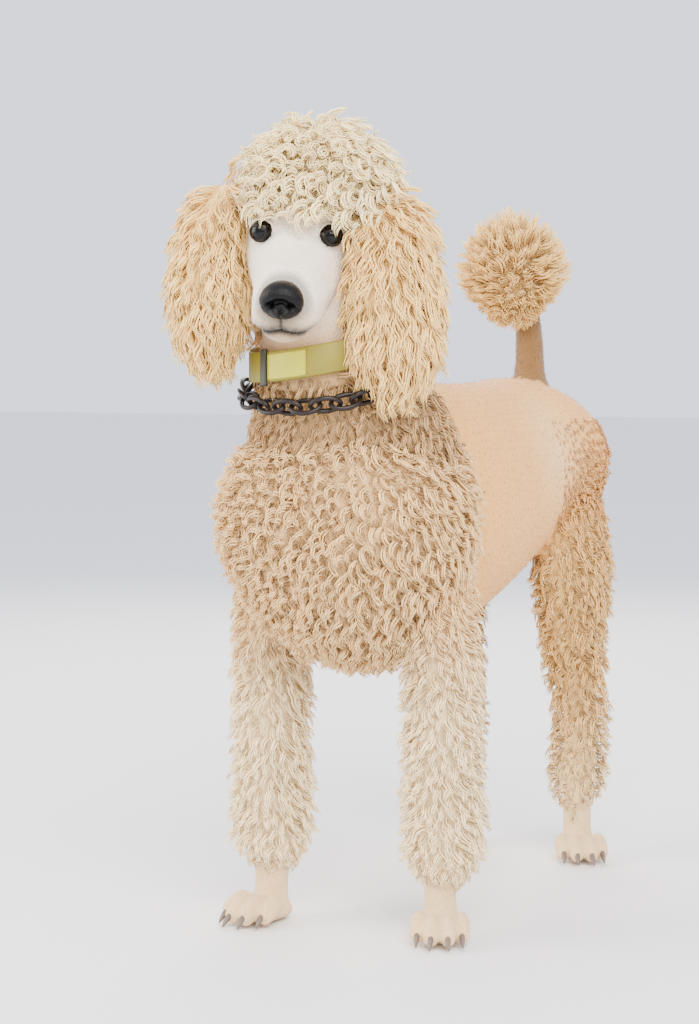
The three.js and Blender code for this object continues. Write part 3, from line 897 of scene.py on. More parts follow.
@dataclass
class Markings:
    """The coat's colours, with a painted highlight on the flank, and the way it lies, over the whole dog.
    """

    cream: tuple = light(244, 214, 158)
    chest: tuple = light(242, 202, 138)
    throat: tuple = light(200, 160, 106)
    apricot: tuple = light(229, 164, 76)
    tan: tuple = light(230, 184, 108)
    pale: tuple = light(255, 234, 188)
    white: tuple = light(244, 232, 214)
    crown: tuple = light(255, 236, 180)
    ear: tuple = light(252, 212, 128)
    plume: tuple = light(250, 210, 128)
    stalk: tuple = light(126, 92, 50)
    foot: tuple = light(226, 194, 146)

    def tint(self, spots: Array, zones: Array) -> Array:
        """Colours points of the coat.

        Args:
            spots: Points in the dog's own frame.
            zones: The number of each point's zone.

        Returns:
            A linear colour for each.
        """
        base = {
            Zone.SADDLE: self.apricot,
            Zone.CHEST: self.chest,
            Zone.NECK: self.throat,
            Zone.FORELEGS: self.pale,
            Zone.HINDLEGS: self.tan,
            Zone.CROWN: self.crown,
            Zone.EARS: self.ear,
            Zone.FACE: self.white,
            Zone.TAIL: self.stalk,
            Zone.PLUME: self.plume,
            Zone.PAWS: self.foot,
            Zone.NAPE: self.crown,
        }
        colour = np.array([base[zone] for zone in Zone])[zones]
        y, z = spots[:, 1], spots[:, 2]

        def toward(target: tuple, share: Array, zone: Zone, where: Any = True) -> None:
            """Moves the colour of a zone's points towards another."""
            amount = (np.clip(share, 0, 1) * ((zones == zone.value) & where))[:, None]
            colour[:] = colour * (1 - amount) + np.array(target) * amount

        # a painted highlight: a pale patch on the flank of the saddle
        flank_highlight = 0.4 * np.exp(-(((y - 330) / 70) ** 2 + ((z - 520) / 70) ** 2))
        toward(self.cream, flank_highlight, Zone.SADDLE)
        toward(self.cream, (360 - z) / 120, Zone.SADDLE)
        toward(self.cream, (240 - z) / 160, Zone.HINDLEGS)
        toward(self.chest, (z - 260) / 120, Zone.FORELEGS)
        toward(self.apricot, (z - 400) / 110, Zone.HINDLEGS)
        toward(self.throat, (690 - z) / 60, Zone.FACE)
        toward(self.chest, (720 - z) / 70, Zone.NAPE)
        local = in_head(spots)
        toward(self.chest, (local[:, 1] - 5) / 40 * 0.6, Zone.FACE, local[:, 2] > -60)
        return colour

    @staticmethod
    def lie(spots: Array, zones: Array) -> Array:
        """Gives the way that the coat lies.

        Args:
            spots: Points in the dog's own frame.
            zones: The number of each point's zone.

        Returns:
            A direction for each.
        """
        way = np.tile(np.array([0.0, 0.15, -1.0]), (len(spots), 1))
        way[zones == Zone.SADDLE.value] = (0, 1.0, -0.35)
        way[zones == Zone.TAIL.value] = (0, 0, 1.0)
        way[zones == Zone.PAWS.value] = (0, -1.0, -0.5)
        head = head_matrix()
        way[zones == Zone.FACE.value] = head[:3, 1]
        crown = zones == Zone.CROWN.value
        flow = in_head(spots)[crown] - np.array([13, 75, 60])
        flow[:, 2] = -30
        way[crown] = unit(flow) @ head[:3, :3].T
        plume = zones == Zone.PLUME.value
        way[plume] = spots[plume] - np.array([2, 430, 700])
        return unit(way)


class Depth(Enum):
    """How hair is shaded: its material, and the share of its colour at the root and at the tip, as painted
    shade at the root and painted light at the tip.
    """

    NAP = ("nap_hair", 1.0, 1.02)
    FLEECE = ("fleece", 0.86, 1.12)
    CURLS = ("curls", 0.5, 1.14)


@dataclass
class Tuft:
    """A tuft of strands that wave together, growing along +Z and lying over towards +X."""

    length: float
    strands: int
    steps: int
    wave: float
    turns: float
    bend: float
    spread: float
    width: float
    flat: float = 1.0

    def mesh(self, name: str, random: np.random.Generator) -> bpy.types.Mesh:
        """Makes one variant.

        Args:
            name: The mesh's name.
            random: Where its chances come from.

        Returns:
            The mesh, with a patch and a strand attribute.
        """
        t = np.linspace(0, 1, self.steps + 1)
        swing = 2 * math.pi * self.turns * random.uniform(0.8, 1.2) * t
        swing += random.uniform(0, 2 * math.pi)
        reach = self.wave * np.clip(t * 3.2, 0, 1) ** 0.8 * random.uniform(0.85, 1.15)
        axis = np.stack(
            [self.bend * self.length * t**1.7, 0 * t, self.length * t * (1 - 0.18 * t)], axis=1
        )
        swell = np.clip(np.minimum(0.55 + 2.2 * t, 1.22 - t**3), 0.12, 1)
        points, faces, strand, base, sides = [], [], [], 0, 3
        for number in range(self.strands):
            angle = 2 * math.pi * number / self.strands + random.uniform(-0.3, 0.3)
            out = self.spread * random.uniform(0.75, 1.1) * (1.05 - 0.5 * t**2)
            here = swing + random.uniform(-0.25, 0.25)
            coil = np.stack([reach * np.cos(here) * self.flat, reach * np.sin(here), 0 * t], 1)
            fan = np.stack([out * np.cos(angle + t), out * np.sin(angle + t), 0 * t], axis=1)
            path = axis * np.array([1, 1, random.uniform(0.84, 1.0)]) + coil + fan
            path[1:] += random.normal(0, 0.04 * self.spread, (self.steps, 3))
            along = unit(np.gradient(path, axis=0))
            radial = unit(coil + fan + np.array([0.01, 0.02, 0]))
            side = unit(np.cross(along, radial))
            up = np.cross(side, along)
            half = self.width * swell * random.uniform(0.85, 1.15)
            mark = random.uniform(0, 9)
            for s in range(sides):
                a = 2 * math.pi * s / sides + 0.5 * math.pi
                points.append(path + half[:, None] * (side * math.cos(a) + up * math.sin(a) * 0.5))
                strand.append(np.stack([s / sides + 0 * t, t, 0 * t + mark], 1))
            steps = self.steps + 1
            for s in range(sides):
                one, two = base + s * steps, base + ((s + 1) % sides) * steps
                for k in range(self.steps):
                    faces.append((one + k, two + k, two + k + 1, one + k + 1))
            faces.append(tuple(base + s * steps + self.steps for s in range(sides)))
            base += sides * steps
        spots, strand = np.vstack(points), np.vstack(strand)
        mesh = new_mesh(name, spots / 1000.0, faces)
        store(mesh, "strand", "FLOAT_VECTOR", strand)
        patch = np.stack([strand[:, 0] - 0.5, strand[:, 1] - 0.5, 0 * strand[:, 0]], 1)
        store(mesh, "patch", "FLOAT_VECTOR", patch)
        return mesh


def store(mesh: bpy.types.Mesh, name: str, kind: str, values: Array) -> None:
    """Writes a vertex attribute.

    Args:
        mesh: The mesh.
        name: The attribute's name.
        kind: Its data type.
        values: One line a vertex.
    """
    attribute = mesh.attributes.new(name, kind, "POINT")
    field_name = {"FLOAT": "value", "INT": "value", "FLOAT_COLOR": "color"}.get(kind, "vector")
    number = np.int32 if kind == "INT" else np.float32
    attribute.data.foreach_set(field_name, np.asarray(values, dtype=number).ravel())


@dataclass
class Scatter:
    """Geometry nodes that set variants on a surface, or on its vertices, by its lie attribute."""

    on_faces: bool = True

    def tree(self) -> bpy.types.NodeTree:
        """Gives the node group, made once.

        Returns:
            The group.
        """
        name = "scatter_faces" if self.on_faces else "scatter_points"
        if name in bpy.data.node_groups:
            return bpy.data.node_groups[name]
        group = bpy.data.node_groups.new(name, "GeometryNodeTree")
        kinds = {"Geometry": "Geometry", "Spacing": "Float", "Lean": "Float", "Ruffle": "Float"}
        kinds |= {"Smallest": "Float", "Seed": "Int", "Variants": "Collection", "Material": "Material"}
        for title, kind in kinds.items():
            group.interface.new_socket(title, in_out="INPUT", socket_type="NodeSocket" + kind)
        group.interface.new_socket("Geometry", in_out="OUTPUT", socket_type="NodeSocketGeometry")
        bench = Bench(group)
        given = bench.node("NodeGroupInput").outputs
        spots, grow = self.roots(bench, given)
        lie = bench.read("lie", "FLOAT_VECTOR")
        turn = bench.wire(
            "FunctionNodeAxesToRotation",
            {"primary_axis": "Z", "secondary_axis": "X"},
            {0: grow, 1: lie},
            "Rotation",
        )
        size = self.chance(bench, given["Smallest"], 5)
        stretch = size * bench.read("reach", "FLOAT")
        toned = bench.wire(
            "GeometryNodeStoreNamedAttribute",
            {"data_type": "FLOAT", "domain": "POINT"},
            {"Geometry": spots, "Name": "tone", "Value": self.chance(bench, 0.0, 7)},
        )
        variants = bench.wire(
            "GeometryNodeCollectionInfo",
            {},
            {"Collection": given["Variants"], "Separate Children": True, "Reset Children": True},
        )
        placed = bench.wire(
            "GeometryNodeInstanceOnPoints",
            {},
            {
                "Points": toned,
                "Instance": variants,
                "Pick Instance": True,
                "Rotation": turn,
                "Scale": bench.wire("ShaderNodeCombineXYZ", {}, {0: size, 1: size, 2: stretch}),
            },
        )
        real = bench.wire("GeometryNodeRealizeInstances", {}, {"Geometry": placed})
        patch = bench.read("patch", "FLOAT_VECTOR").scaled(PATCH)
        mapped = bench.wire(
            "GeometryNodeStoreNamedAttribute",
            {"data_type": "FLOAT2", "domain": "CORNER"},
            {
                "Geometry": real,
                "Name": "OFBake",
                "Value": bench.read("root_place", "FLOAT_VECTOR").moved_by(patch),
            },
        )
        sockets = {"Geometry": mapped, "Material": given["Material"]}
        dressed = bench.wire("GeometryNodeSetMaterial", {}, sockets)
        bench.node("NodeGroupOutput", {}, {"Geometry": dressed})
        return group

    def roots(self, bench: Bench, given: Any) -> tuple[bpy.types.NodeSocket, Wire]:
        """Lays out the points that the variants stand on.

        Args:
            bench: The tree.
            given: The group's inputs.

        Returns:
            The points, and the way that each variant grows.
        """
        if not self.on_faces:
            return given["Geometry"], bench.read("grow", "FLOAT_VECTOR")
        sockets = {
            "Mesh": given["Geometry"],
            "Distance Min": given["Spacing"],
            "Density Max": 400000.0,
            "Density Factor": bench.read("cover", "FLOAT"),
            "Seed": given["Seed"],
        }
        poisson = {"distribute_method": "POISSON"}
        spread = bench.node("GeometryNodeDistributePointsOnFaces", poisson, sockets)
        noise = bench.wire(
            "FunctionNodeRandomValue",
            {"data_type": "FLOAT_VECTOR"},
            {0: (-1.0, -1.0, -1.0), 1: (1.0, 1.0, 1.0), "Seed": given["Seed"]},
        )
        grow = Wire(bench, spread.outputs["Normal"]).scaled(1.0 - Wire(bench, given["Lean"]))
        lie = bench.read("lie", "FLOAT_VECTOR").scaled(given["Lean"])
        return spread.outputs["Points"], grow.moved_by(lie, noise.scaled(given["Ruffle"]))

    @staticmethod
    def chance(bench: Bench, low: Any, seed: int) -> Wire:
        """Gives a random number of each point, up to 1."""
        sockets = {2: low, 3: 1.0, "Seed": seed}
        return bench.wire("FunctionNodeRandomValue", {"data_type": "FLOAT"}, sockets, 1)

    def grow(
        self, piece: bpy.types.Object, meshes: list[bpy.types.Mesh], finish: Finish, **values: Any
    ) -> bpy.types.Object:
        """Turns a patch of skin into the coat that grows on it.

        Args:
            piece: The patch, which becomes the coat.
            meshes: The variants.
            finish: The coat's finish.
            values: The group's other inputs by name.

        Returns:
            The piece.
        """
        store_room = bpy.data.collections.new("variants")
        kept = [bpy.data.objects.new(mesh.name, mesh) for mesh in meshes]
        for one in kept:
            store_room.objects.link(one)
        modifier = piece.modifiers.new("coat", "NODES")
        modifier.node_group = self.tree()
        values |= {"Variants": store_room, "Material": finish.material()}
        for item in modifier.node_group.interface.items_tree:
            if item.in_out == "INPUT" and item.name in values:
                modifier[item.identifier] = values[item.name]
        settle(piece)
        for one in kept:
            bpy.data.objects.remove(one)
        bpy.data.collections.remove(store_room)
        return piece


@dataclass
class Skin:
    """The dog's skin, with its markings and the places where the coat grows."""

    frame: Frame = field(default_factory=Frame)
    markings: Markings = field(default_factory=Markings)
    fineness: dict = field(
        default_factory=lambda: {
            "skin": (0.005, 9),
            "head_skin": (0.0024, 5),
            "paw_skin": (0.0023, 3),
        }
    )  # the size of the faces in metres, and the rounds of smoothing
    zones: Array | None = None

    @staticmethod
    def blended(name: str, members: list[Member], pitch: float, rounds: int) -> bpy.types.Object:
        """Melts forms into one surface.

        Args:
            name: The object's name.
            members: The forms.
            pitch: The size of its faces, in metres.
            rounds: How often it is smoothed.

        Returns:
            The object.
        """
        surfaces = [m.form.surface(m.rings, m.sides, -m.depth) for m in members]
        piece = new_object(name, gathered(name, surfaces))
        melt = piece.modifiers.new("melt", "REMESH")
        melt.mode, melt.voxel_size, melt.use_smooth_shade = "VOXEL", pitch, True
        ease = piece.modifiers.new("ease", "SMOOTH")
        ease.factor, ease.iterations = 0.5, rounds
        return settle(piece)

    def build(self) -> bpy.types.Object:
        """Makes the skin.

        Returns:
            The finished object.
        """
        body, head, ears = self.frame.body(), self.frame.head(), self.frame.ears()
        paws = [member for place, top in self.frame.paws() for member in Paw(place, top).members()]
        parts = {"skin": body, "head_skin": head, "paw_skin": paws}
        pieces = [self.blended(name, made, *self.fineness[name]) for name, made in parts.items()]
        pads = [m.form.surface(m.rings, m.sides) for m in ears]
        pieces.append(new_object("ear_skin", gathered("ear_skin", pads)))
        self.carve_head(pieces[1].data)
        bpy.ops.object.select_all(action="DESELECT")
        for piece in pieces:
            piece.select_set(True)
        bpy.context.view_layer.objects.active = pieces[0]
        bpy.ops.object.join()
        skin = pieces[0]
        self.unwrap(skin)
        self.mark(skin.data, body + head + ears + paws)
        return skin

    @staticmethod
    def unwrap(skin: bpy.types.Object) -> None:
        """Unwraps the skin.

        Args:
            skin: The skin.
        """
        layer = skin.data.uv_layers.new(name="OFBake")
        skin.data.uv_layers.active = layer
        bpy.ops.object.mode_set(mode="EDIT")
        bpy.ops.mesh.select_all(action="SELECT")
        bpy.ops.uv.smart_project(angle_limit=math.radians(70), island_margin=0.002)
        bpy.ops.object.mode_set(mode="OBJECT")

    def mark(self, mesh: bpy.types.Mesh, members: list[Member]) -> None:
        """Writes the markings, with the face's pigment and painted shade, and the coat's guides on the
        skin.

        Args:
            mesh: The skin's mesh.
            members: The forms that it was made of.
        """
        samples = [(m, m.form.surface(m.rings, m.sides, -m.depth)[0]) for m in members]
        count = sum(len(spots) for _, spots in samples)
        tree, owner, number = KDTree(count), np.empty(count, dtype=int), 0
        for member, spots in samples:
            for spot in spots:
                tree.insert(spot, number)
                owner[number] = member.zone.value
                number += 1
        tree.balance()
        spots = places(mesh)
        nearest = np.array([tree.find(spot)[1] for spot in spots])
        self.zones = owner[nearest]
        face = self.zones == Zone.FACE.value
        self.zones[face & (in_head(spots)[:, 1] > 42)] = Zone.NAPE.value
        self.zones[face & below_band(spots) & (spots[:, 1] > -190)] = Zone.NECK.value
        lie = self.markings.lie(spots, self.zones)
        normal = values_of(mesh.vertices, "normal", 3)
        flat = unit(lie - normal * np.sum(lie * normal, axis=1, keepdims=True))
        # the face's lip pigment and painted shade darken the markings
        tint = self.markings.tint(spots, self.zones) * self.face_pigment_and_painted_shade(spots)[:, None]
        store(mesh, "tint", "FLOAT_COLOR", np.hstack([tint, np.ones((len(tint), 1))]))
        store(mesh, "lie", "FLOAT_VECTOR", flat)
        store(mesh, "zone", "INT", self.zones)

    @staticmethod
    def mouth_gap(local: Array) -> tuple[Array, Array]:
        """Gives how far points lie above the line of the mouth, and how much the line counts there.

        Args:
            local: Points in the head's frame.

        Returns:
            The height above the line, and a share from 0 to 1.
        """
        back = np.clip((local[:, 1] + 114) / 84, 0, 1)
        height = local[:, 2] + 68.5 + 9 * back**0.7 - 2.5 * bell(local[:, 0], 9)
        share = np.clip((-26 - local[:, 1]) / 14, 0, 1) * (local[:, 2] < -40)
        return height, share

    def face_pigment_and_painted_shade(self, spots: Array) -> Array:
        """Gives how dark the bare skin of the face is: lip and eye-rim pigment, painted shade in the
        mouth's crease, the philtrum's groove and round the eye sockets, and darker round the nose.

        Args:
            spots: Points in the dog's own frame.

        Returns:
            A factor for each, 1 on the coat.
        """
        local = in_head(spots)
        shade = np.ones(len(spots))
        near = (local[:, 1] < 34) & (local[:, 2] < 30) & (np.abs(local[:, 0]) < 60)
        face = local[near]
        height, share = self.mouth_gap(face)
        patch = 0.5 + 0.5 * np.sin(face[:, 0] * 0.55) * np.sin(face[:, 1] * 0.5 + 1.1)
        front = np.clip((-70 - face[:, 1]) / 25, 0, 1)
        # the mouth's line: lip pigment and painted shade in its crease
        tone = 1 - share * 0.93 * bell(height, 2.3)
        tone *= 1 - share * front * (0.8 + 0.19 * patch) * bell(height - 1.5, 7.5)
        # painted shade in the philtrum's groove
        tone *= 1 - 0.8 * bell(face[:, 0], 1.6) * (face[:, 1] < -100) * (height > 0)
        nose = np.linalg.norm((face - np.array([0, -NOSE_REACH + 16, -34])) / [27, 22, 23], axis=1)
        tone *= 1 - 0.62 * np.clip(1.5 - nose, 0, 0.5) * 2
        for side in (-1, 1):
            edge, front = Eye(side).edge(face)
            tone *= 1 - 0.9 * bell(edge - 1.05, 0.24) * front
            # painted shade round the eye socket
            tone *= 1 - 0.34 * bell(edge - 1.2, 0.9) * front
        shade[near] = tone
        return shade

    def carve_head(self, mesh: bpy.types.Mesh) -> None:
        """Presses the mouth's line, the eye sockets and the bridge of the muzzle into the head.

        Args:
            mesh: The head's mesh.
        """
        local = in_head(places(mesh))
        normal = values_of(mesh.vertices, "normal", 3) @ head_matrix()[:3, :3]
        height, share = self.mouth_gap(local)
        groove = 3.4 * bell(height, 2.2) - 2.2 * bell(height - 9, 6)
        groove += 1.4 * bell(local[:, 0], 1.3) * (height > 0) * (local[:, 1] < -102)
        cheek = np.clip((-4 - local[:, 1]) / 30, 0, 1) * bell(local[:, 2] + 34, 14)
        local -= normal * (groove * share + 2.4 * cheek * (np.abs(local[:, 0]) > 14))[:, None]
        for side in (-1, 1):
            local = Eye(side).socket(local)
        mesh.vertices.foreach_set("co", row(moved(local, head_matrix())).ravel())
        mesh.update()

    def patch(
        self, skin: bpy.types.Object, name: str, keep: Callable[[Array, Array], Array]
    ) -> bpy.types.Object:
        """Copies a part of the skin for coat to grow on.

        Args:
            skin: The skin.
            name: The patch's name.
            keep: Tells, from face middles and zones, which faces are wanted.

        Returns:
            The patch.
        """
        mesh = skin.data
        spots = values_of(mesh.vertices, "co", 3)
        loops = values_of(mesh.loops, "vertex_index", kind=int)
        starts = values_of(mesh.polygons, "loop_start", kind=int)
        totals = values_of(mesh.polygons, "loop_total", kind=int)
        firsts = loops[starts]
        wanted = np.where(keep(spots[firsts] * 1000.0 + CENTRE, self.zones[firsts]))[0]
        corners = [np.arange(starts[f], starts[f] + totals[f]) for f in wanted]
        used, inverse = np.unique(loops[np.concatenate(corners)], return_inverse=True)
        faces, base = [], 0
        for one in corners:
            faces.append(inverse[base : base + len(one)])
            base += len(one)
        made = new_mesh(name, spots[used], faces)
        for title, kind, word, wide in (
            ("tint", "FLOAT_COLOR", "color", 4),
            ("lie", "FLOAT_VECTOR", "vector", 3),
        ):
            store(made, title, kind, values_of(mesh.attributes[title].data, word, wide)[used])
        place = np.zeros((len(used), 3))
        map_places = values_of(mesh.uv_layers["OFBake"].data, "uv", 2)
        place[inverse, :2] = map_places[np.concatenate(corners)]
        store(made, "root_place", "FLOAT_VECTOR", place)
        return new_object(name, made)


@dataclass
class Eye:
    """One eye: a dark glossy ball, its dark rim and the socket that holds it."""

    side: int
    wide: float = 9.2
    tall: float = 6.9
    sunk: float = 2.5  # how far the skin lies inside the ball's front
    lid: float = 1.2  # how far the lids lie outside the ball
    lid_reach: float = 1.7  # where the lids end, in sizes of the opening

    @property
    def centre(self) -> Array:
        """The ball's middle in the head's frame."""
        return np.array([self.side * EYE_SPREAD, -1.0, 0.0])

    def axes(self) -> tuple[Array, Array, Array]:
        """Gives the way that the eye looks.

        Returns:
            Unit vectors outward, across and up.
        """
        outward = unit(np.array([self.side * 0.42, -0.88, 0.12]))
        across = unit(np.array([-outward[1], outward[0], -0.12 * self.side]))
        across = unit(across - outward * np.dot(across, outward))
        return outward, across, np.cross(outward, across) * -1

    def rim_line(self, grow: float, lift: float, count: int = 40) -> Array:
        """Gives the edge of the opening.

        Args:
            grow: How much larger than the opening it is.
            lift: How far outside the ball it lies.
            count: How many points it has.

        Returns:
            Points in the head's frame.
        """
        outward, across, up = self.axes()
        angle = np.linspace(0, 2 * math.pi, count, endpoint=False)
        a, b = np.cos(angle) * (self.wide + grow), np.sin(angle) * (self.tall + grow)
        reach = EYE_RADIUS + lift
        front = np.sqrt(np.maximum(reach**2 - a**2 - b**2, 1.0))
        return self.centre + a[:, None] * across + b[:, None] * up + front[:, None] * outward

    def edge(self, local: Array) -> tuple[Array, Array]:
        """Gives how far points lie from the opening's middle, in sizes of the opening.

        Args:
            local: Points in the head's frame.

        Returns:
            The distance, 1 on the opening's edge, and 1 for each point in front of the ball.
        """
        outward, across, up = self.axes()
        arm = local - self.centre
        edge = np.sqrt(((arm @ across) / self.wide) ** 2 + ((arm @ up) / self.tall) ** 2)
        return edge, ((arm @ outward) > 0) * 1.0

    def socket(self, local: Array) -> Array:
        """Opens the skin in front of the ball and lays lids round it.

        Args:
            local: The head's points in its own frame.

        Returns:
            The moved points.
        """
        arm = local - self.centre
        length = np.linalg.norm(arm, axis=1)
        front = arm @ self.axes()[0]
        edge = self.edge(local)[0]
        inside = (edge < 1.0) & (front > 0) & (length < EYE_RADIUS + 16)
        lid = (edge >= 1.0) & (front > 0) & (length < EYE_RADIUS + 9) & (edge < self.lid_reach)
        moved_to = local.copy()
        shell = unit(arm)
        moved_to[inside] = self.centre + shell[inside] * (EYE_RADIUS - self.sunk)
        share = np.clip((self.lid_reach - edge[lid]) / 0.5, 0, 1)[:, None]
        held = self.centre + shell[lid] * (EYE_RADIUS + self.lid)
        moved_to[lid] = local[lid] * (1 - share) + held * share
        now = moved_to - self.centre
        reach = np.linalg.norm(now, axis=1)
        least = EYE_RADIUS + self.lid - 0.1
        buried = (edge >= 1.0) & (front > -EYE_RADIUS * 0.4) & (reach < least)
        moved_to[buried] = self.centre + unit(now[buried]) * least
        return moved_to

    def build(self) -> tuple[bpy.types.Object, bpy.types.Object]:
        """Makes the ball and its rim.

        Returns:
            The two objects.
        """
        name = "left" if self.side > 0 else "right"
        rows = []
        for angle in np.radians(np.linspace(-89, 89, 24)):
            across = EYE_RADIUS * math.cos(angle)
            rows.append((*(self.centre + [0, 0, EYE_RADIUS * math.sin(angle)]), across, across))
        ball = Form(rows, facing=(0, 0, 1), matrix=head_matrix()).surface(26, 36)
        ball_piece = new_object("eyeball_" + name, gathered("eyeball_" + name, [ball]))
        line = self.rim_line(0.5, 0.3)
        along = unit(np.roll(line, -1, axis=0) - np.roll(line, 1, axis=0))
        away = unit(line - self.centre)
        points, faces = sleeve(around(line, away * 0.7, np.cross(along, away) * 1.3))
        surface = (moved(points, head_matrix()), faces)
        return ball_piece, new_object("eye_rim_" + name, gathered("eye_rim_" + name, [surface]))


@dataclass
class Nose:
    """The nose leather with two comma-shaped nostrils."""

    def build(self) -> bpy.types.Object:
        """Makes the nose.

        Returns:
            The object.
        """
        y = -NOSE_REACH
        rows = (
            (0, y + 30, -29, 6, 4),
            (0, y + 24, -30, 16, 13),
            (0, y + 13, -34, 21.5, 19),
            (0, y + 5, -38, 21, 18),
            (0, y + 0.5, -40, 14, 13),
            (0, y - 0.5, -40, 3, 3),
        )
        spots, faces = Form(rows).surface(46, 64)
        for side in (-1, 1):
            opening = ((side * 10.5, y + 2, -37.5), (4.2, 8, 4.2), 9.0)
            slit = ((side * 16.5, y + 7, -41), (5.5, 9, 2.2), 4.5)
            for centre, size, press in (opening, slit):
                gap = np.linalg.norm((spots - np.array(centre)) / np.array(size), axis=1)
                inward = np.array([-side * 0.1, 1.0, 0.1])
                spots += inward * (press * np.exp(-(gap**2) * 1.6))[:, None]
        groove = bell(spots[:, 0], 1.4) * (spots[:, 2] < -38) * (spots[:, 1] < y + 12)
        spots[:, 1] += 2.0 * groove
        surface = (moved(spots, head_matrix()), faces)
        return new_object("nose_leather", gathered("nose_leather", [surface]))


@dataclass
class Collar:
    """A flat band with its keeper and bright panel, and a chain of wire links."""

    band: tuple = (80.0, 90.0, 1.0, -82.0, 634.0, 0.16, 0.12)
    chain: tuple = (87.0, 94.0, 0.0, -76.0, 603.0, 0.28, 0.0)
    tall: float = 30.0
    links: int = 28

    @staticmethod
    def level(ring: tuple, angle: Array, out: float = 0.0) -> Array:
        """Gives points round the neck.

        Args:
            ring: Half sizes, middle, height, rise to the back and lean to the left.
            angle: Angles round the neck.
            out: How far outside the ring.

        Returns:
            Points in the dog's own frame.
        """
        wide, deep, x, y, z, rise, lean = ring
        px = x + (wide + out) * np.cos(angle)
        py = y + (deep + out) * np.sin(angle)
        return np.stack([px, py, z + rise * (py - y) + lean * (px - x)], axis=-1)

    def strap(
        self, name: str, start: float, stop: float, out: float, thick: float, tall: float
    ) -> bpy.types.Object:
        """Makes a length of band with rounded edges.

        Args:
            name: The object's name.
            start: Where it starts, in degrees.
            stop: Where it ends.
            out: How far outside the ring its inner face lies.
            thick: Its thickness.
            tall: Its height.

        Returns:
            The object.
        """
        closed = stop - start >= 360
        count = max(8, int(abs(stop - start) / 2.5))
        angle = np.radians(np.linspace(start, stop, count, endpoint=not closed))
        edge = ((0, -0.5), (0.5, -0.53), (1, -0.48), (1, 0.48), (0.5, 0.53), (0, 0.5))
        rows = [
            self.level(self.band, angle, out + thick * o) + np.array([0, 0, tall * u]) for o, u in edge
        ]
        return new_object(name, gathered(name, [sleeve(rows, closed)]))

    def link(self) -> bpy.types.Mesh:
        """Makes one oval link of wire, long along X.

        Returns:
            The mesh.
        """
        wire = 2.7
        angle = np.linspace(0, 2 * math.pi, 28, endpoint=False)
        middle = np.stack([13.5 * np.cos(angle), 9.0 * np.sin(angle), 0 * angle], axis=1)
        middle[:, 0] += 2.0 * np.sign(np.cos(angle)) * np.abs(np.cos(angle))
        points, faces = sleeve(around(middle, unit(middle) * wire, np.array([0, 0, -wire])))
        mesh = new_mesh("link", points / 1000.0, faces)
        store(mesh, "patch", "FLOAT_VECTOR", np.zeros((len(mesh.vertices), 3)))
        return mesh

    def build(self, steel: Finish) -> list[bpy.types.Object]:
        """Makes the collar's pieces.

        Args:
            steel: The chain's finish.

        Returns:
            The band, its panel, its keeper and the chain.
        """
        band = self.strap("band", 0, 360, 0.2, 2.6, self.tall)
        panel = self.strap("band_panel", 252, 284, 2.9, 0.7, self.tall - 5)
        keeper = self.strap("keeper", 246, 251.5, 2.2, 3.6, self.tall + 6)
        angle = np.linspace(0, 2 * math.pi, self.links, endpoint=False)
        spots = self.level(self.chain, angle, 3.0)
        along = unit(np.roll(spots, -1, axis=0) - np.roll(spots, 1, axis=0))
        away = unit(spots - np.array([0, -77, 602]))
        away[:, 2] = 0
        tilt = np.where(np.arange(self.links) % 2, 0.75, -0.75)[:, None]
        up = unit(np.cross(along, away))
        grow = unit(unit(away) * np.cos(tilt) + up * np.sin(tilt))
        chain = new_object("chain", new_mesh("chain", row(spots), []))
        nowhere = np.zeros((self.links, 3))
        for title, values in (("grow", grow), ("lie", along), ("root_place", nowhere)):
            store(chain.data, title, "FLOAT_VECTOR", values)
        store(chain.data, "reach", "FLOAT", np.ones(self.links))
        Scatter(on_faces=False).grow(chain, [self.link()], steel, Smallest=1.0)
        return [band, panel, keeper, chain]


@dataclass(frozen=True)
class Ramp:
    """A share that changes evenly along an axis of the dog's own frame, held between two limits."""

    axis: int
    start: float
    span: float
    least: float
    most: float = 1.0

    def share(self, spots: Array) -> Array:
        """Gives the share at points."""
        return np.clip((spots[:, self.axis] - self.start) / self.span, self.least, self.most)


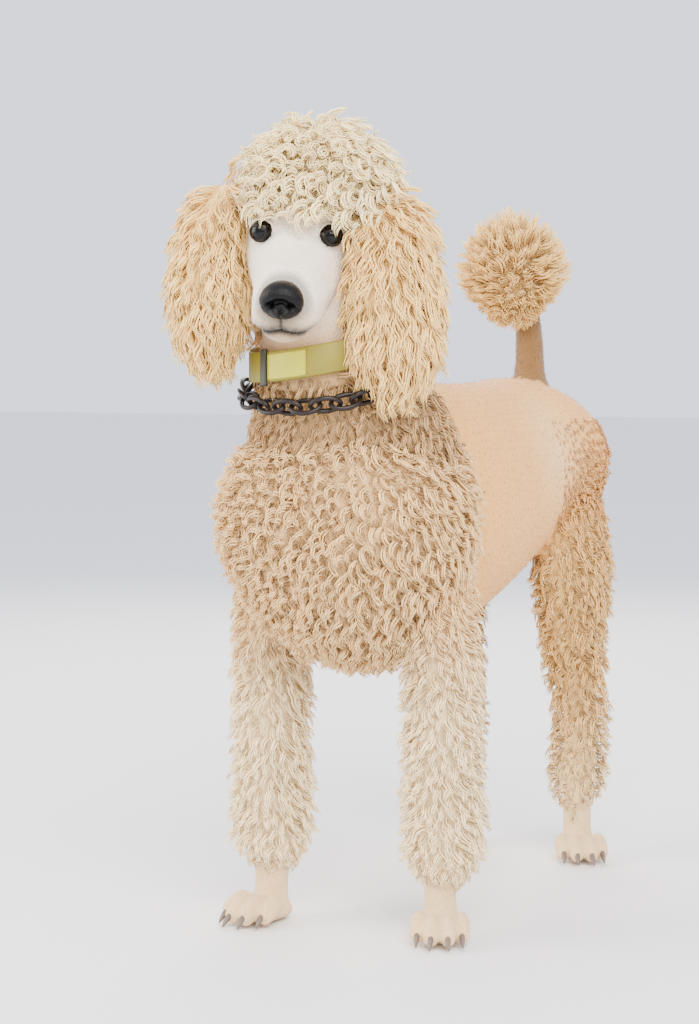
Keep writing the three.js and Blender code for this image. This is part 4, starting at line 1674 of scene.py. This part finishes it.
@dataclass
class Coat:
    """One piece of coat: where it grows, its tufts and how densely they stand."""

    name: str
    zone: Zone
    tuft: Tuft
    spacing: float
    lean: float
    ruffle: float
    smallest: float = 0.75
    side: int = 0
    seed: int = 1
    variants: int = 7
    depth: Depth = Depth.FLEECE
    fits: Callable[[Array], Array] | None = None
    reach: tuple[Ramp, ...] = ()

    def slot(self) -> str:
        """Names a material slot for this part of the coat.

        Returns:
            The slot's name.
        """
        slots = {
            Zone.CROWN: "coat_face",
            Zone.FACE: "coat_face",
            Zone.FORELEGS: "coat_pale",
            Zone.HINDLEGS: "coat_pale",
            Zone.EARS: "coat_apricot",
            Zone.PLUME: "coat_apricot",
            Zone.TAIL: "paw_skin",
            Zone.PAWS: "paw_skin",
        }
        return slots.get(self.zone, "coat_cream")

    def build(self, skin: bpy.types.Object, maker: Skin, finish: Finish) -> bpy.types.Object:
        """Grows the coat.

        Args:
            skin: The skin.
            maker: What made it.
            finish: The hair's finish.

        Returns:
            The piece.
        """

        def keep(middles: Array, zones: Array) -> Array:
            """Tells which faces the coat grows on.

            Args:
                middles: The faces' places.
                zones: Their zones.

            Returns:
                True for each wanted face.
            """
            wanted = zones == self.zone.value
            if self.side:
                wanted &= middles[:, 0] * self.side > 0
            if self.fits:
                wanted &= self.fits(middles)
            return wanted

        piece = maker.patch(skin, self.name, keep)
        spots = places(piece.data)
        reach = np.ones(len(spots))
        store(piece.data, "cover", "FLOAT", reach)
        for ramp in self.reach:
            reach = reach * ramp.share(spots)
        store(piece.data, "reach", "FLOAT", reach)
        random = np.random.default_rng(self.seed)
        meshes = [self.tuft.mesh(f"tuft_{k}", random) for k in range(self.variants)]
        return Scatter().grow(
            piece,
            meshes,
            finish,
            Spacing=self.spacing / 1000.0 * 1.0,
            Lean=self.lean,
            Ruffle=self.ruffle,
            Smallest=self.smallest,
            Seed=self.seed,
        )


def band_height(spots: Array) -> Array:
    """Gives how high points lie, measured along the slant of the flat collar."""
    return spots[:, 2] - BAND_RISE * (spots[:, 1] - BAND_MIDDLE)


def below_band(spots: Array) -> Array:
    """Tells which points lie under the flat collar."""
    return band_height(spots) < BAND_EDGES[0]


def above_band(spots: Array) -> Array:
    """Tells which points lie over the flat collar."""
    return band_height(spots) > BAND_EDGES[1]


def on_thigh(spots: Array) -> Array:
    """Tells which points of the clipped back lie over the thighs."""
    return (spots[:, 1] > 330) & (spots[:, 2] < 550) & (np.abs(spots[:, 0]) > 45)


def above_brow(spots: Array) -> Array:
    """Tells which points of the crown lie above the face's opening."""
    local = in_head(spots)
    return local[:, 2] > 34 - np.clip((local[:, 1] - 2) * 0.9, 0, 60)


def coats() -> list[Coat]:
    """Lists the coat's pieces.

    Returns:
        The pieces, head first.
    """
    rope = Tuft(36, 5, 7, 3.6, 1.15, 0.25, 3.0, 1.25)
    nape = Tuft(32, 4, 6, 2.8, 1.0, 0.3, 2.6, 1.2)
    crown = Tuft(48, 6, 10, 4.6, 1.75, 0.3, 3.2, 1.3)
    brushed = Tuft(36, 5, 5, 2.4, 1.0, 0.3, 3.4, 1.25, 0.8)
    curl = Tuft(33, 4, 6, 3.0, 1.05, 0.28, 3.0, 1.3)
    lock = Tuft(62, 6, 8, 2.8, 1.5, 0.22, 4.0, 1.25, 0.5)
    plume = Tuft(52, 7, 6, 2.2, 0.9, 0.12, 4.4, 1.1, 0.8)
    short = Tuft(9.0, 2, 2, 0.3, 0.3, 0.5, 1.8, 0.5)
    tiny = Tuft(4.4, 2, 2, 0.15, 0.3, 0.5, 1.1, 0.35)
    nap, curls = {"depth": Depth.NAP}, {"depth": Depth.CURLS}
    below_plume = {"reach": (Ramp(2, 674, 52, 0.5),)}
    pieces = [
        Coat("crown_coat", Zone.CROWN, crown, 7.1, 0.24, 0.18, 0.85, seed=3, fits=above_brow),
        Coat("face_coat", Zone.FACE, tiny, 5.0, 0.86, 0.12, seed=4, **nap),
        Coat("neck_coat", Zone.NECK, nape, 9.0, 0.5, 0.16, seed=5, fits=below_band, **curls),
        Coat("nape_coat", Zone.NAPE, nape, 9.0, 0.45, 0.2, seed=31, fits=above_band),
        Coat("plume_coat", Zone.PLUME, plume, 6.0, 0.05, 0.2, 0.88, seed=6, **curls, **below_plume),
        Coat("tail_coat", Zone.TAIL, short, 4.6, 0.85, 0.1, seed=7, **nap),
        Coat("paw_coat", Zone.PAWS, tiny, 6.2, 0.86, 0.12, seed=8, **nap),
    ]
    chest_end = {"reach": (Ramp(1, 92, -50, 0.5),)}
    fore_cuff = {"reach": (Ramp(2, 36, 70, 0.45),)}
    hind_cuff = {"reach": (Ramp(2, 42, 70, 0.45), Ramp(2, 530, -150, 0.3))}
    croup = {"reach": (Ramp(2, 575, -170, 0.2, 0.7), Ramp(1, 322, 50, 0.3)), "fits": on_thigh}
    pairs = (
        ("chest", Zone.CHEST, rope, (9.1, 0.3, 0.2, 0.84), 11, curls | chest_end),
        ("ear", Zone.EARS, lock, (7.6, 0.6, 0.14, 0.8), 14, {}),
        ("foreleg", Zone.FORELEGS, brushed, (8.1, 0.3, 0.16, 0.84), 17, fore_cuff),
        ("hindleg", Zone.HINDLEGS, curl, (9.3, 0.3, 0.18, 0.84), 20, curls | hind_cuff),
        ("thigh", Zone.SADDLE, curl, (9.3, 0.4, 0.18, 0.84), 26, curls | croup),
        ("saddle", Zone.SADDLE, short, (9.0, 0.88, 0.1, 0.7), 23, nap),
    )
    for side, name in SIDES:
        for word, zone, tuft, sizes, seed, more in pairs:
            pieces.append(Coat(f"{word}_coat_{name}", zone, tuft, *sizes, side, seed + side, **more))
    return pieces


@dataclass
class Studio:
    """The camera, the pale floor and soft light."""

    focal: float = 80.6
    azimuth: float = 27.31
    distance: float = 2500.4
    shift: float = 15.8
    height: float = 607.1
    pitch: float = 3.38
    floor: float = 30.0

    def build(self) -> None:
        """Sets up the studio."""
        scene = bpy.context.scene
        turn = math.radians(self.azimuth)
        side = np.array([math.cos(turn), math.sin(turn), 0])
        ahead = np.array([-math.sin(turn), math.cos(turn), 0])
        place = -(side * self.shift + ahead * self.distance) + np.array([0, 0, self.height])
        data = bpy.data.cameras.new("camera")
        data.lens, data.sensor_width, data.clip_end = self.focal, 36.0, 50.0
        camera = bpy.data.objects.new("camera", data)
        scene.collection.objects.link(camera)
        camera.location = row(place[None])[0]
        camera.rotation_euler = (math.radians(90 - self.pitch), 0, turn)
        scene.camera = camera
        far = self.floor
        corners = np.array([(-far, -far, 0), (far, -far, 0), (far, far, 0), (-far, far, 0)])
        floor = new_object("floor", new_mesh("floor", corners, [(0, 1, 2, 3)]))
        plain = Finish("floor_finish", light(234, 233, 234), 0.9, spread=0.02)
        floor.data.materials.append(plain.material())
        for name, at, size, power in (
            ("key", (1.9, -2.4, 2.6), 2.4, 290.0),
            ("fill", (-2.6, -1.6, 1.6), 2.6, 170.0),
            ("rim", (-1.2, 2.6, 2.4), 1.8, 110.0),
        ):
            lamp = bpy.data.lights.new(name, "AREA")
            lamp.size, lamp.energy = size, power
            lamp.color = (1.0, 0.95, 0.87)
            holder = bpy.data.objects.new(name, lamp)
            scene.collection.objects.link(holder)
            holder.location = at
            ray = Vector((0, 0, 0.5)) - Vector(at)
            holder.rotation_euler = ray.to_track_quat("-Z", "Y").to_euler()
        world = bpy.data.worlds.new("world")
        world.use_nodes = True
        sky = {"Color": (*light(219, 223, 236), 1), "Strength": 2.2}
        Bench(world.node_tree).feed(world.node_tree.nodes["Background"], sky)
        scene.world = world


def main() -> None:
    """Builds the dog, its collar and its studio."""
    logging.basicConfig(level=logging.INFO, format="%(message)s")
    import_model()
    kinds = {}
    for depth in Depth:
        title, root, tip = depth.value
        kinds[depth] = CoatFinish(title, root_painted_shade=root, tip_painted_light=tip)
    maker = Skin()
    skin = maker.build()
    flesh = ["torso", "neck", "head", "ear_left", "ear_right", "tail", "tail_plume"]
    for limb in ("foreleg", "hindleg", "forepaw", "hindpaw"):
        flesh += [f"{limb}_left", f"{limb}_right"]
    show(skin, SkinFinish("clipped_coat"), "coat_face", *flesh)
    for coat in coats():
        show(coat.build(skin, maker, kinds[coat.depth]), kinds[coat.depth], coat.slot())
    eye_finish = Finish("eye_finish", light(5, 3, 3), 0.06, gleam=0.2, spread=0.0)
    rim_finish = Finish("rim_finish", light(22, 17, 17), 0.45, grain=0.3, gleam=0.2)
    leather = Finish("leather", light(2, 2, 3), 0.34, grain=1.0, grain_size=850, gleam=0.16)
    for side, name in SIDES:
        ball, rim = Eye(side).build()
        show(ball, eye_finish, "eye", f"eye_{name}")
        show(rim, rim_finish, "nose_leather")
    show(Nose().build(), leather, "nose_leather", "nose")
    horn = Finish("horn", light(104, 88, 78), 0.45)
    claws = [
        claw.surface(10, 10) for place, top in maker.frame.paws() for claw in Paw(place, top).claws()
    ]
    show(new_object("claws", gathered("claws", claws)), horn, "paw_skin")
    webbing = Finish("webbing", light(126, 116, 20), 0.6, grain=0.5, grain_size=900)
    bright = Finish("panel", light(180, 176, 26), 0.5, grain=0.2, grain_size=900)
    moulded = Finish("moulded", light(46, 48, 40), 0.55)
    steel = Finish("steel", light(44, 40, 39), 0.42, metallic=0.8, spread=0.3)
    band, panel, keeper, chain = Collar().build(steel)
    show(band, webbing, "collar_band", "collar_band")
    show(panel, bright, "collar_band")
    show(keeper, moulded, "collar_keeper", "collar_keeper")
    show(chain, steel, "collar_chain", "collar_chain")
    Studio().build()


if __name__ == "__main__":
    main()
